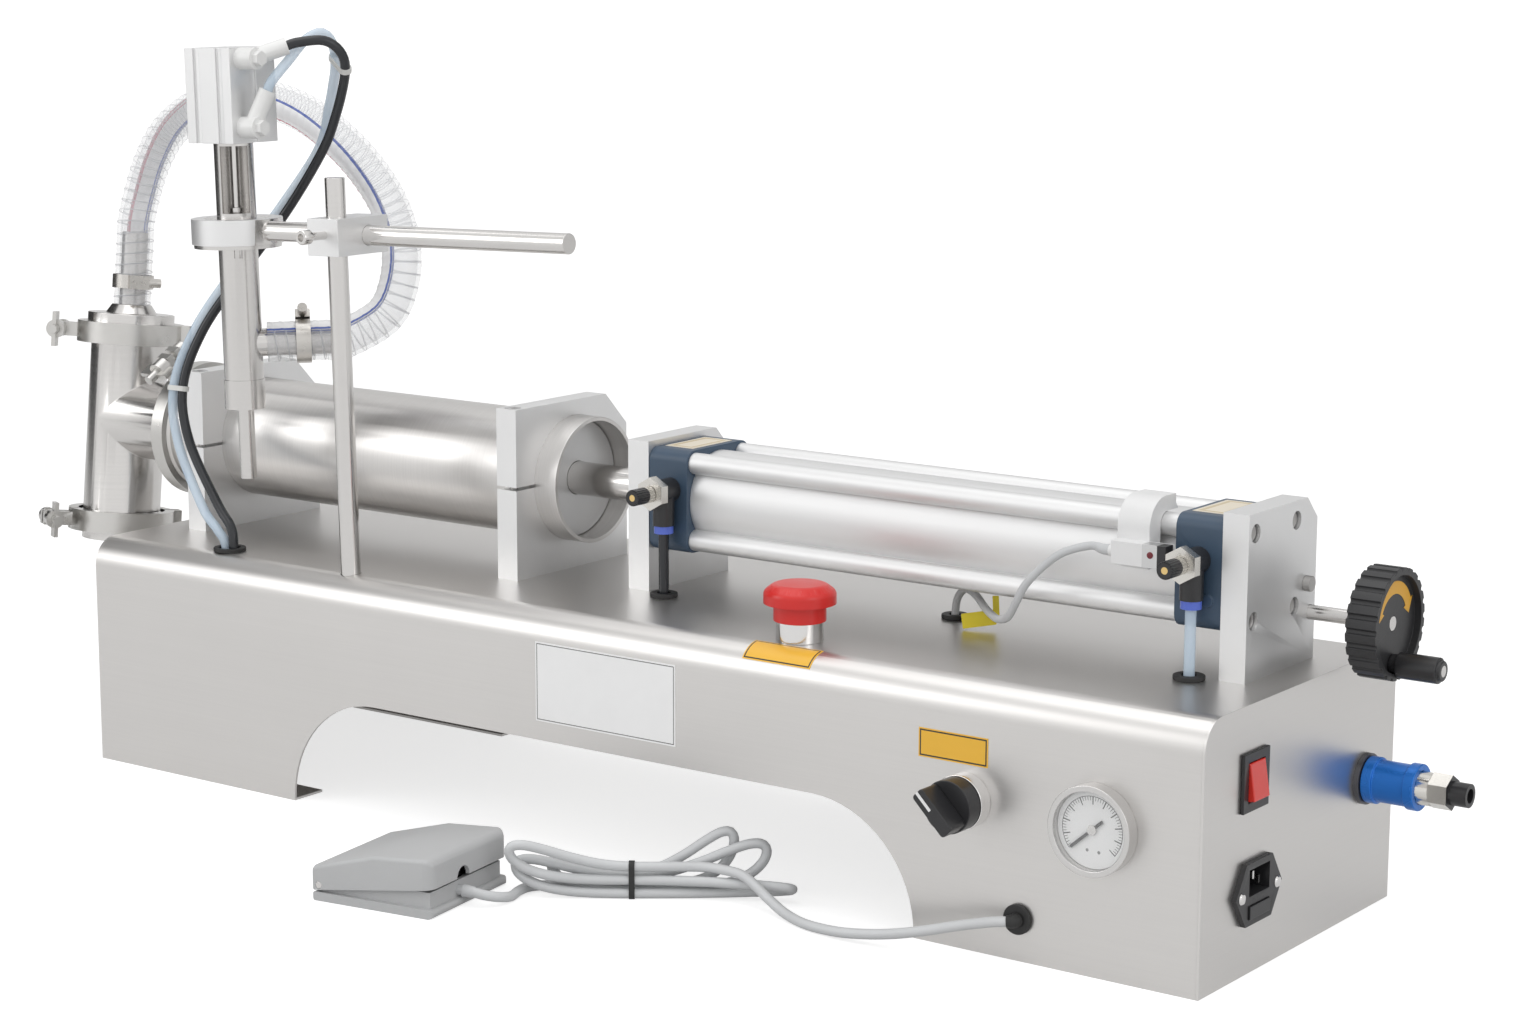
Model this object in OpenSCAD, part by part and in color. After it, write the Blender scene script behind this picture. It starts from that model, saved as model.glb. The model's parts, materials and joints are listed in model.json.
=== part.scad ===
// Horizontal piston filler driven by compressed air, with a foot pedal
// X runs to the air end, Y to the back and Z up from the floor

/* [Cabinet] */
// Length of the cabinet over its end panels
cabinet_len = 788.8; // [760:0.1:860]
// Depth of the cabinet from front to back
cabinet_depth = 217; // [205:1:260]
// Height of the cabinet's top above the floor
cabinet_h = 142.5; // [135:0.5:180]
// Thickness of the cabinet's sheet
sheet = 1.5; // [1:0.1:2.5]
// Outer radius of the two long top bends
bend_r = 17; // [8:1:20]
// Clear height of the arch between the legs
arch_h = 68; // [40:1:72]
// Corner radius of the arch
arch_r = 67; // [20:1:80]
// Length of each leg at the floor
leg_len = 169.4; // [150:0.1:200]
// Width of the flange under each leg
flange_w = 24; // [15:1:40]

/* [Cylinders] */
// Height of the cylinder axis above the cabinet
axis_rise = 54.9; // [52:0.1:70]
// Cylinder axis behind the cabinet's middle
axis_y = 5; // [0:1:10]
// Stroke of the piston
stroke = 280; // [240:1:284]
// Outer diameter of the product cylinder
product_d = 76; // [74:1:80]
// Bore of the product cylinder
product_bore = 71; // [60:1:72]
// Diameter of the common piston rod
rod_d = 20; // [14:1:24]
// Bore of the air cylinder
air_bore = 50; // [40:1:51]
// Side of the square air cylinder caps
cap_w = 60; // [58:1:64]
// Length of one air cylinder cap
cap_t = 27.5; // [24:0.5:32]
// Thickness of the product cylinder's blocks
block_t = 15; // [12:1:18]
// Thickness of the air cylinder's plates
plate_t = 15; // [12:1:16]

/* [Stroke setting] */
// Diameter of the lead screw
screw_d = 8; // [6:0.5:10]
// Diameter of the handwheel
wheel_d = 60; // [50:1:80]
// Width of the handwheel's rim
wheel_t = 17.2; // [12:0.2:22]

/* [Valve tee] */
// Outer diameter of the sanitary tube
tee_d = 51; // [48:1:52]
// Wall of the sanitary tube
tee_wall = 1.6; // [1:0.1:2.5]
// Distance from the end joint to the tee's axis
branch_len = 74.6; // [70:0.1:90]
// Lean of the tee, in degrees
tee_lean = 6.4; // [0:0.1:8]
// Diameter of the valve balls
ball_d = 30; // [26:1:32]

/* [Nozzle and stand] */
// Diameter of the stand rod and the arm
stand_d = 12; // [10:0.5:12]
// Length of the stand rod above the cabinet
stand_len = 236; // [225:1:300]
// Lean of the stand, in degrees
stand_lean = 1.6; // [0:0.1:3]
// Outer diameter of the nozzle tube
nozzle_d = 24; // [22:0.5:26]
// Outer diameter of the spout
spout_d = 10; // [9:0.5:12]
// Side of the nozzle's square actuator
actuator_w = 38; // [34:1:42]
// Lift of the valve rod when the nozzle opens
valve_lift = 12; // [6:1:14]

/* [Hose and tubes] */
// Outer diameter of the ribbed hose at its crests
hose_d = 25.2; // [24:0.1:25.2]
// Distance from rib to rib
rib_pitch = 7; // [6:0.5:9]
// Diameter of the air tubes
tube_d = 6; // [5:0.5:6]
// Diameter of the pedal's cord
cord_d = 5.6; // [4:0.2:5.8]

/* [Pedal] */
// Length of the pedal
pedal_len = 79; // [76:1:90]
// Width of the pedal
pedal_w = 76; // [70:1:84]
// Travel of the treadle, in degrees
treadle_travel = 7; // [4:1:7]

/* [Hidden] */
$fn = 48;

// Overrun of cuts, and gaps: running, seated in one body, and between bodies
over = 1;
run_gap = 0.05;
fit_gap = 0.05;
body_gap = 0.3;

// Cabinet, worked out
half_len = cabinet_len / 2;
half_depth = cabinet_depth / 2;
arch_half = half_len - leg_len;
arch_corner = min(arch_r, arch_h - sheet);

// Cylinder line, from the air end towards the product end
axis_z = cabinet_h + axis_rise;
air_start_x = -16;
end_gap = 1;
air_piston_t = 36;
barrel_x0 = air_start_x + cap_t;
barrel_x1 = barrel_x0 + stroke + air_piston_t + 2 * end_gap;
air_end_x = barrel_x1 + cap_t;
rear_plate_x1 = air_end_x + plate_t;
front_plate_x0 = air_start_x - plate_t;
yoke_gap = 49;
product_x1 = front_plate_x0 - yoke_gap;
piston_inset = 14;
piston_t = 28;
seal_w = 2.6;
seal_shares = [0.3, 0.75];
head_gap = 8;
joint_x = product_x1 - piston_inset - piston_t - stroke - head_gap;
tee_x = joint_x - branch_len;
inner_block_off = 16;
outer_block_off = 39;
inner_block_x1 = product_x1 - inner_block_off;
outer_block_x0 = joint_x + outer_block_off;

// Blocks and plates: front, back and top edges, chamfers and slit
block_y0 = -49.4;
block_y1 = 55;
block_rise = 102.1;
block_top = cabinet_h + block_rise;
block_chamfer = 20;
slit = 2;
plate_y0 = -25.5;
plate_y1 = 52;
plate_rise = 88.4;
plate_chamfer = 12;
tie_off = 23;
bearing_y = 46.7;
bearing_rise = 25.7;
bearing_z = cabinet_h + bearing_rise;
bearing_seat = 3;
gland_r = 15;
lock_y = 40.4;
lock_rise = 42.3;

// Cap screws: head and shank
head_r = 4.2;
head_t = 4;
shank_r = 2.4;
shank_hole_r = 2.6;
counterbore_r = 5;
counterbore_t = 6;
screw_bite = 10;
clamp_screw_y = -43;
foot_screw_inset = 12;
foot_screw_bite = 16;

// Sanitary joints: flange radius, rim, depth and gasket
small_flange_r = 32;
small_rim_t = 2;
small_depth = 5;
side_flange_r = 41;
side_rim_t = 2.5;
side_depth = 6;
gasket_t = 1;
side_ring_r = 43.75;
side_ring_half = 5;
side_mouth_drop = 1.4;
small_ring_r = 35;
small_ring_half = 7;
small_mouth_drop = 3.5;
ring_split = 3;
lug_reach = 18;
lug_bite = 2.6;
lug_t = 5;
lug_w = 9;
bolt_r = 3;
bolt_at = 12.5;
bolt_head_r = 5.6;
bolt_out = 24;
bolt_back = 12;
nut_len = 8;
wing_span = 23;
wing_t = 2.6;
wing_rise = 4;
side_lug_turn = 30;
top_lug_turn = 216;
bottom_lug_turn = 240;

// Tee, along its own upright axis
tee_r = tee_d / 2;
tee_bore_r = tee_r - tee_wall;
tee_top = 57;
tee_foot = -68.5;
adapter_r = 28.5;
adapter_t = 11;
hub_r0 = 17;
hub_r1 = 13;
hub_t = 6;
port_tail = 8;
ball_r = ball_d / 2;
seat_hole_share = 0.8;
seat_t = 5;
cage_foot = 2.6;
inlet_seat_z = -50;
outlet_seat_z = 30;
ball_lift = 8;
cage_rod_r = 1.6;
cage_h = 18;
cage_out = 18.5;

// Hose: crest, valley and bore corners, barbs inside it
hose_r = hose_d / 2;
rib_depth = 0.7;
hose_bore_r = 9.6;
barb_r = 8.5;
barb_bore_r = 6.5;
barb_len = 48;
worm_w = 9;
worm_t = 0.7;
worm_box_l = 13;
worm_box_h = 5;
worm_screw_r = 3;
worm_screw_l = 8;
top_worm_z = 15;
hose_foot_z = tee_top + small_rim_t + adapter_t + hub_t + body_gap;

// Air barrel and caps
barrel_r = 27.4;
lobe_off = 22.5;
lobe_r = 6.2;
lobe_hole_r = 2.8;
cap_corner = 7;
cushion_y = 8;
cushion_z = 14;
cushion_r = 3.4;
cushion_t = 1;
gland_t = 20;
air_port_z = 7.1;
port_r = 5;
port_depth = 10;

// Flow controls on the front faces of the caps
control_off = 16;
control_r = 7;
control_len = 14;
hex_r = 9.8;
hex_t = 6;
elbow_r = 6.2;
elbow_drop = 20;
collar_drop = 24.5;
collar_r = 5.6;
flow_knob_r = 4.75;
flow_knob_len = 16;
needle_r = 2;
needle_len = 16;
front_control_x = air_start_x + control_off;
rear_control_x = barrel_x1 + cap_t / 2;
control_y = axis_y - (cap_w + control_len) / 2;

// Sensor carriage, reed sensor and handwheel
carriage_x0 = 301;
carriage_w = 19;
carriage_inner = 29;
carriage_front = 11.7;
carriage_back = 18;
carriage_rise = 20;
bracket_roof = 8.2;
bracket_split = 13;
bracket_corner = 16;
bracket_inner_corner = 6.5;
bracket_skirt = 0.6;
nut_drop = 8;
sensor_x0 = 302;
sensor_len = 32;
sensor_z0 = 3.3;
sensor_h = 12.2;
sensor_t = 8;
boot_len = 2.6;
wheel_off = 12.35;
wheel_x0 = half_len + wheel_off;
wheel_inset = 4;
wheel_hub_r = 11;
wheel_flutes = 24;
flute_r = 1.6;
crank_off = 21.6;
crank_pin_r = 4;
crank_len = 23;
crank_r = 7;
crank_neck_r = 5.5;
crank_end = 2;

// Stand and nozzle, in the stand's leaning frame with its foot on the cabinet's top
stand_x = -191.3;
stand_y = -90.7;
stand_r = stand_d / 2;
stand_nut_r = 9;
stand_nut_t = 6;
stand_nut_drop = 2.3;
stand_tail = 12;
cross_x0 = -12;
cross_x1 = 12.5;
cross_y0 = -12.4;
cross_y1 = 30.5;
cross_z0 = 190.7;
cross_z1 = 212.6;
arm_y = 14.1;
arm_z = 201.5;
arm_x1 = 165;
nozzle_x = -96.2;
ring_r = 27.75;
ring_z0 = 193.3;
ring_z1 = 208.8;
ring_bore_r = 20;
lip_r = 26.5;
lip_t = 2.3;
shoulder_r = 11.5;
nozzle_r = nozzle_d / 2;
nozzle_z0 = 110;
nozzle_bore_r = 9.5;
chamber_h = 40;
nozzle_nut_t = 18;
nozzle_nut_z = nozzle_z0 - nozzle_nut_t;
nozzle_nut_r = 12.5;
nozzle_web = 2.6;
spout_z0 = 48.5;
spout_bore_r = 4;
seat_cone_h = 6;
inlet_z = 132;
inlet_turn = 45;
inlet_reach = 55;
hose_start = 15;
nozzle_worm_at = 37;
window_top = 254.5;
window_half = 44;
window_wall = 1.5;
window_sill = 2;
actuator_bore_r = 15.5;
actuator_floor = 4;
actuator_groove = 1.6;
actuator_groove_w = 5;
actuator_piston_t = 12;
actuator_spring = 24;
actuator_low = window_top + actuator_floor + over;
actuator_h = 2 * actuator_floor + over + actuator_piston_t + valve_lift + actuator_spring;
valve_rod_r = 2.5;
valve_tip_r = 4.6;
valve_tip_h = 8;
valve_collar_r = 4.3;
valve_collar_z = 211.5;
valve_collar_t = 3.5;
thumb_head_r = 6;
thumb_head_t = 5;
thumb_shank_r = 2.5;
thumb_z = 200;
set_screw_r = 2.6;
set_screw_l = 6;
set_screw_x = 9;

// Actuator elbows
elbow_body_r = 6.6;
elbow_arm = 24;
elbow_hex_r = 4.6;
elbow_hex_t = 5;
elbow_arm_r = 5.2;
upper_elbow_z = 305;
lower_elbow_z = 264;
elbow_y = -9;
upper_elbow_tilt = 73;
lower_elbow_tilt = 25;
elbow_turn = 45;

// Controls on the cabinet
estop_x = 128.8;
estop_inset = 30.8;
estop_y = estop_inset - half_depth;
estop_collar_r = 13;
estop_collar_t = 11.1;
estop_base_r = 14.5;
estop_base_t = 9;
estop_cap_r = 20;
estop_cap_t = 6.6;
estop_crown = 4.2;
estop_crown_share = 0.72;
estop_stem_r = 8;
estop_travel = 5;
estop_block = 28;
estop_block_h = 30;
selector_inset = 137.4;
selector_x = half_len - selector_inset;
selector_z = 81;
bezel_r = 14.75;
bezel_t = 9;
knob_r = 13.2;
knob_disc_r = 14.2;
knob_disc_t = 10.5;
knob_wing_l = 26.8;
knob_wing_w = 8;
knob_wing_t = 14;
knob_stem_r = 5;
selector_body = 26;
selector_body_t = 28;
gauge_inset = 59.9;
gauge_x = half_len - gauge_inset;
gauge_z = 79;
gauge_r = 23.75;
gauge_t = 9;
gauge_rim = 3.2;
gauge_dial_t = 1;
gauge_stem_r = 5;
gauge_back_r = 19;
gauge_back_t = 20;
needle_hub_r = 2.6;
needle_l = 16;
needle_tail = 8;
needle_w = 1.6;
needle_t = 0.8;
needle_turn = 221;

// Right end panel
switch_y = -56;
switch_z = 102.5;
switch_w = 27;
switch_h = 31;
switch_rim = 2.5;
switch_t = 2;
switch_depth = 16;
switch_floor = 2.6;
rocker_tilt = 9;
rocker_rise = 3;
inlet_y = -51.6;
inlet_mid_z = 43.8;
inlet_w = 50;
inlet_h = 33;
inlet_core_w = 28;
inlet_core_h = 29;
inlet_depth = 26;
inlet_flange_t = 3;
socket_w = 22;
socket_h = 14;
socket_up = 6;
socket_depth = 16;
drawer_h = 7;
drawer_down = 9.5;
drawer_depth = 20;
inlet_screw_off = 19.4;
air_in_y = 73.6;
air_in_z = 74.9;
air_nut_r = 14;
air_nut_t = 3;
sleeve_len = 30;
sleeve_r = 12.75;
sleeve_waist_r = 11.5;
sleeve_lip = 6;
core_r = 9;
air_hex_r = 9.8;
air_hex_t = 11;
air_ring_r = 6.5;
air_ring_t = 10;
supply_r = 4;
supply_depth = 14;
sleeve_travel = 6;
core_end = sleeve_len + sleeve_travel + over;

// Grommets and the tubes through them: places on the top, radius and bore
grommet_lip = 2.5;
grommet_rise = 2.5;
nozzle_grommet = [-298.4, -85.2];
front_grommet = [front_control_x, control_y];
sensor_grommet = [166.5, 20];
rear_grommet = [rear_control_x, control_y];
nozzle_grommet_r = 7.5;
tube_grommet_r = 5.6;
sensor_grommet_r = 5.2;
rear_grommet_r = 6;
cord_inset = 104.9;
cord_grommet_x = half_len - cord_inset;
cord_grommet_z = 22.8;
cord_grommet_r = 5.6;
tube_r = tube_d / 2;
cord_r = cord_d / 2;
tube_side = 3.3;
cable_r = 2.2;

// Works inside the cabinet
valve_w = 50;
valve_d = 36;
valve_h = 28;
valve_drop = 24.5;
coil_r = 9;
coil_l = 26;
board_w = 110;
board_d = 80;
board_t = 1.6;
board_drop = 24;
post_r = 3;
board_x = 130;
board_y = 6;
chip_h = 12;
chip_w = 26;
valve_b_x = 60;
valve_b_y = -55;
valve_b = [valve_b_x - valve_w / 4, valve_b_y - valve_d / 4,
    cabinet_h - sheet - valve_h - valve_drop / 2];

// Pedal, in its own frame at its front left corner
pedal_x = -77;
pedal_y = -248.5;
pedal_turn = 8;
pedal_base_t = 5;
pedal_wall = 2.5;
pedal_wall_h = 9;
pedal_gap = 0.7;
treadle_z0 = 19.3;
treadle_z1 = 30.4;
treadle_z2 = 33;
treadle_mid_share = 0.52;
skirt_z0 = 5.6;
skirt_z1 = 16.5;
pin_x = 5;
pin_z = 9;
pin_r = 2;
exit_y = 31.3;
exit_z = 8.4;
notch_r = 6;
notch_z = 16.5;
spring_x = 52;
spring_r = 6;
spring_wire = 2.6;
spring_h = treadle_z1 - pedal_wall - pedal_base_t - over
    - (spring_x - pin_x) * sin(treadle_travel);
micro_x = 22;
micro_l = 20;
micro_h = 12;
micro_w = 8;

// Routes, chosen by hand in the machine's frame
hose_route = [[-483, 24, 345], [-474, 26, 368], [-457, 26, 389], [-428, 24, 405], [-394, 22, 414],
    [-357, 19, 413], [-324, 16, 406], [-292, 12, 392], [-264, 8, 374], [-242, 4, 353],
    [-229, 0, 329], [-226, -6, 306], [-230, -16, 287]];
black_route = [[-298, -84, 157], [-312, -82, 171], [-339, -78, 207], [-347, -74, 240],
    [-338, -64, 275], [-321, -46, 310], [-293, -33, 350], [-263, -32, 388], [-250, -33, 411],
    [-240, -36, 432], [-235, -41, 444], [-236, -47, 452], [-241, -54, 456]];
clear_route = [[-308, -86, 155], [-323, -84, 168], [-348, -79, 206], [-354, -75, 240],
    [-345, -64, 275], [-328, -46, 311], [-301, -32, 350], [-273, -25, 388], [-263, -26, 413],
    [-256, -29, 428], [-250, -33, 440], [-247, -38, 453], [-249, -45, 460], [-254, -54, 456],
    [-257, -66, 444]];
front_tube_route = [[0, -32, 122], [3, -34, 111], [15, -40, 107]];
rear_tube_route = [[343, -32, 122], [338, -34, 108], [318, -38, 100], [280, -40, 97],
    [220, -44, 96], [160, -46, 101]];
cable_route = [[286, -37, 207], [271, -39, 202], [259, -40, 193], [249, -41, 182],
    [242, -39, 171], [233, -32, 161], [219, -20, 156], [203, -6, 157], [188, 8, 160],
    [176, 16, 161], [168, 20, 154]];
lead_route = [[106, -117, 18], [118, -116, 17], [128, -117, 13], [138, -119, 8], [154, -125, 4],
    [172, -131, 3],
    [194, -134, 4], [212, -133, 6], [228, -132, 9], [244, -130, 13], [258, -127, 17],
    [270, -123, 20], [281, -118, 22]];
tail_route = [[8, -203, 7], [13, -196, 5], [13, -186, 3], [10, -176, 3], [10, -166, 3]];

// Vector helpers, and a smooth curve through chosen points
function unit(v) = v / norm(v);
function last(list) = list[len(list) - 1];
function blend_point(a, b, c, d, t) =
    (2 * b + (c - a) * t + (2 * a - 5 * b + 4 * c - d) * t * t
    + (3 * b - a - 3 * c + d) * t * t * t) / 2;
function smooth(p, steps) = concat(
    [for (i = [0:len(p) - 2], s = [0:steps - 1])
        blend_point(p[max(i - 1, 0)], p[i], p[i + 1], p[min(i + 2, len(p) - 1)], s / steps)],
    [last(p)]);
function run_length(p, i = 0, sum = 0) =
    i >= len(p) - 1 ? sum : run_length(p, i + 1, sum + norm(p[i + 1] - p[i]));
// Places at even distances along a route
function walk(p, step, i = 0, used = 0) =
    i >= len(p) - 1 ? [] :
    let (seg = norm(p[i + 1] - p[i]))
    used + step > seg ? walk(p, step, i + 1, used - seg)
    : concat([p[i] + (used + step) / seg * (p[i + 1] - p[i])], walk(p, step, i, used + step));
function even(p, count) =
    let (inside = walk(p, run_length(p) / count))
    concat([p[0]], [for (i = [0:count - 2]) inside[i]], [last(p)]);
function heading(p, i) = unit(p[min(i + 1, len(p) - 1)] - p[max(i - 1, 0)]);
function across(v, t) = unit(v - (v * t) * t);
function frames(p, v, i = 0) =
    i == len(p) ? [] : let (n = across(v, heading(p, i))) concat([n], frames(p, n, i + 1));

// One ring of points round every place of a route
function ring_points(p, normals, radii, sides) =
    [for (i = [0:len(p) - 1], k = [0:sides - 1])
        let (t = heading(p, i), n = normals[i], b = cross(t, n), a = 360 * k / sides)
        p[i] + radii[i] * (cos(a) * n + sin(a) * b)];
// Triangles between rings, turned over where the skin faces in
function skin(rings, sides, first, inward) =
    [for (i = [0:rings - 2], k = [0:sides - 1], half = [0, 1])
        let (a = first + i * sides + k, b = first + i * sides + (k + 1) % sides,
             c = a + sides, d = b + sides, f = half == 0 ? [a, c, b] : [b, c, d])
        inward ? [f[0], f[2], f[1]] : f];

// A solid tube along a route
module swept(p, r, sides, v) {
    points = ring_points(p, frames(p, v), [for (q = p) r], sides);
    count = len(p);
    polyhedron(points, concat(
        skin(count, sides, 0, false),
        [for (k = [1:sides - 2]) [0, k, k + 1]],
        [for (k = [1:sides - 2]) [(count - 1) * sides, (count - 1) * sides + k + 1,
            (count - 1) * sides + k]]));
}

// A hollow tube along a route, with its own outer radius at every ring
module swept_hollow(p, outer, inner, sides, v) {
    normals = frames(p, v);
    count = len(p);
    rim = [for (k = [0:sides - 1]) [k, (k + 1) % sides]];
    far = (count - 1) * sides;
    polyhedron(
        concat(ring_points(p, normals, outer, sides),
            ring_points(p, normals, [for (q = p) inner], sides)),
        concat(
            skin(count, sides, 0, false),
            skin(count, sides, count * sides, true),
            [for (e = rim, half = [0, 1]) half == 0
                ? [e[0], e[1], count * sides + e[0]]
                : [e[1], count * sides + e[1], count * sides + e[0]]],
            [for (e = rim, half = [0, 1]) half == 0
                ? [far + e[1], far + e[0], count * sides + far + e[0]]
                : [far + e[1], count * sides + far + e[0], count * sides + far + e[1]]]));
}

// Plain solids along the axes
module along_x(x0, x1, r) translate([x0, 0, 0]) rotate([0, 90, 0]) cylinder(h = x1 - x0, r = r);
module along_y(y0, y1, r) translate([0, y1, 0]) rotate([90, 0, 0]) cylinder(h = y1 - y0, r = r);
module along_z(z0, z1, r) translate([0, 0, z0]) cylinder(h = z1 - z0, r = r);
module extrude_x(x0, x1)
    translate([x0, 0, 0]) rotate([90, 0, 90]) linear_extrude(x1 - x0) children();
module extrude_y(y0, y1)
    translate([0, y1, 0]) rotate([90, 0, 0]) linear_extrude(y1 - y0) children();
module box(low, high) translate(low) cube(high - low);
module ring_x(x0, x1, r_out, r_in) difference() {
    along_x(x0, x1, r_out);
    along_x(x0 - over, x1 + over, r_in);
}
module ring_z(z0, z1, r_out, r_in) difference() {
    along_z(z0, z1, r_out);
    along_z(z0 - over, z1 + over, r_in);
}
module ring_y(y0, y1, r_out, r_in) difference() {
    along_y(y0, y1, r_out);
    along_y(y0 - over, y1 + over, r_in);
}
module round_rect(w, h, r) {
    square([w - 2 * r, h], center = true);
    square([w, h - 2 * r], center = true);
    for (x = [-1, 1], y = [-1, 1]) translate([x * (w / 2 - r), y * (h / 2 - r)]) circle(r);
}
module hex_z(z0, z1, r) translate([0, 0, z0]) cylinder(h = z1 - z0, r = r, $fn = 6);

// Frames of the cylinder axis, the tee, the stand and the pedal
module on_axis() translate([0, axis_y, axis_z]) children();
module on_tee() translate([tee_x, axis_y, axis_z]) rotate([-tee_lean, 0, 0]) children();
module on_stand()
    translate([stand_x, stand_y, cabinet_h]) rotate([0, -stand_lean, 0]) children();
module on_nozzle() on_stand() translate([nozzle_x, arm_y, 0]) children();
module on_pedal() translate([pedal_x, pedal_y, 0]) rotate([0, 0, pedal_turn]) children();
function tee_point(z) =
    [tee_x, axis_y + z * sin(tee_lean), axis_z + z * cos(tee_lean)];
function stand_point(p) =
    [stand_x + p[0] * cos(stand_lean) - p[2] * sin(stand_lean), stand_y + p[1],
     cabinet_h + p[0] * sin(stand_lean) + p[2] * cos(stand_lean)];
function inlet_point(reach) =
    stand_point([nozzle_x + reach * cos(inlet_turn), arm_y + reach * sin(inlet_turn), inlet_z]);
function pedal_point(x, y, z) =
    [pedal_x + x * cos(pedal_turn) - y * sin(pedal_turn),
     pedal_y + x * sin(pedal_turn) + y * cos(pedal_turn), z];

// Cabinet section across its length, open at the floor
module cabinet_section(inset, drop) {
    half = half_depth - inset;
    top = cabinet_h - inset;
    r = bend_r - inset;
    translate([-half, -drop]) square([2 * half, top - r + drop]);
    translate([-half + r, -drop]) square([2 * (half - r), top + drop]);
    for (side = [-1, 1]) translate([side * (half - r), top - r]) circle(r);
}
module arch_outline() {
    translate([-arch_half, -over]) square([2 * arch_half, arch_h - arch_corner + over]);
    translate([-arch_half + arch_corner, -over])
        square([2 * (arch_half - arch_corner), arch_h + over]);
    for (side = [-1, 1])
        translate([side * (arch_half - arch_corner), arch_h - arch_corner]) circle(arch_corner);
}
module top_hole(place, r) translate([place[0], place[1], 0])
    along_z(cabinet_h - sheet - over, cabinet_h + over, r);
module front_hole(x, z, r) translate([x, 0, z])
    along_y(-half_depth - over, -half_depth + sheet + over, r);
module feet(x, y0, y1)
    for (y = [y0 + foot_screw_inset, y1 - foot_screw_inset]) translate([x, y, 0]) children();
module foot_screw_places() {
    for (x = [outer_block_x0 + block_t / 2, inner_block_x1 - block_t / 2])
        feet(x, block_y0, block_y1) children();
    for (x = [front_plate_x0 + plate_t / 2, rear_plate_x1 - plate_t / 2])
        feet(x, plate_y0, plate_y1) children();
}

module cabinet_shell() color("gainsboro") difference() {
    union() {
        extrude_x(-half_len + sheet, half_len - sheet) difference() {
            cabinet_section(0, 0);
            cabinet_section(sheet, over);
        }
        for (x = [0, 1], y = [0, 1]) mirror([x, 0, 0]) mirror([0, y, 0])
            box([arch_half, half_depth - flange_w, 0], [half_len - sheet, half_depth, sheet]);
    }
    extrude_y(-half_depth - over, half_depth + over) arch_outline();
    top_hole(nozzle_grommet, nozzle_grommet_r);
    top_hole(front_grommet, tube_grommet_r);
    top_hole(sensor_grommet, sensor_grommet_r);
    top_hole(rear_grommet, rear_grommet_r);
    top_hole([estop_x, estop_y], estop_stem_r + body_gap);
    on_stand() along_z(-sheet - over, over, stand_r + body_gap);
    foot_screw_places() along_z(cabinet_h - sheet - over, cabinet_h + over, shank_hole_r);
    front_hole(selector_x, selector_z, knob_stem_r + over);
    front_hole(gauge_x, gauge_z, gauge_back_r + body_gap);
    front_hole(cord_grommet_x, cord_grommet_z, cord_grommet_r);
}

module end_panels() color("gainsboro") {
    extrude_x(-half_len, -half_len + sheet) cabinet_section(0, 0);
    difference() {
        extrude_x(half_len - sheet, half_len) cabinet_section(0, 0);
        box([half_len - sheet - over, switch_y - switch_w / 2 + switch_rim,
             switch_z - switch_h / 2 + switch_rim],
            [half_len + over, switch_y + switch_w / 2 - switch_rim,
             switch_z + switch_h / 2 - switch_rim]);
        box([half_len - sheet - over, inlet_y - inlet_core_w / 2 - body_gap,
             inlet_mid_z - inlet_core_h / 2 - body_gap],
            [half_len + over, inlet_y + inlet_core_w / 2 + body_gap,
             inlet_mid_z + inlet_core_h / 2 + body_gap]);
        translate([0, air_in_y, air_in_z])
            along_x(half_len - sheet - over, half_len + over, core_r + fit_gap);
        for (y = [-1, 1]) translate([0, inlet_y + y * inlet_screw_off, inlet_mid_z])
            along_x(half_len - sheet - over, half_len + over, shank_hole_r);
    }
}

// Two split blocks and two plates that hold the cylinders
module block_outline(y0, y1, rise, chamfer) polygon([
    [y0, cabinet_h], [y1, cabinet_h], [y1, cabinet_h + rise - chamfer],
    [y1 - chamfer, cabinet_h + rise], [y0, cabinet_h + rise]]);
module split_block(x0) difference() {
    extrude_x(x0, x0 + block_t) difference() {
        block_outline(block_y0, block_y1, block_rise, block_chamfer);
        translate([axis_y, axis_z]) circle(product_d / 2 + fit_gap);
        translate([block_y0 - over, axis_z - slit / 2])
            square([axis_y - block_y0 - product_bore / 2 + over, slit]);
    }
    translate([x0 + block_t / 2, clamp_screw_y, 0]) {
        along_z(axis_z - screw_bite, block_top + over, shank_hole_r);
        along_z(block_top - counterbore_t, block_top + over,
            counterbore_r);
    }
    feet(x0 + block_t / 2, block_y0, block_y1)
        along_z(cabinet_h - over, cabinet_h + foot_screw_bite, shank_hole_r);
}
module at_ties() for (y = [-1, 1], z = [-1, 1]) translate([0, y * tie_off, z * tie_off])
    children();
module end_plate(x0, outward) difference() {
    extrude_x(x0, x0 + plate_t) block_outline(plate_y0, plate_y1, plate_rise, plate_chamfer);
    on_axis() {
        if (outward < 0) along_x(x0 - over, x0 + plate_t + over, gland_r + fit_gap);
        at_ties() {
            along_x(x0 - over, x0 + plate_t + over, shank_hole_r);
            along_x(outward < 0 ? x0 - over : x0 + plate_t - counterbore_t,
                outward < 0 ? x0 + counterbore_t : x0 + plate_t + over, counterbore_r);
        }
    }
    translate([0, bearing_y, bearing_z])
        along_x(outward < 0 ? x0 + bearing_seat : x0 - over, x0 + plate_t + over,
            screw_d / 2 + run_gap);
    feet(x0 + plate_t / 2, plate_y0, plate_y1)
        along_z(cabinet_h - over, cabinet_h + foot_screw_bite, shank_hole_r);
    if (outward > 0) translate([0, lock_y, cabinet_h + lock_rise])
        along_x(x0 - over, x0 + plate_t + over, shank_hole_r);
}
module mounting_blocks() color("silver") {
    split_block(outer_block_x0);
    split_block(inner_block_x1 - block_t);
    end_plate(front_plate_x0, -1);
    end_plate(air_end_x, 1);
}

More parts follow.
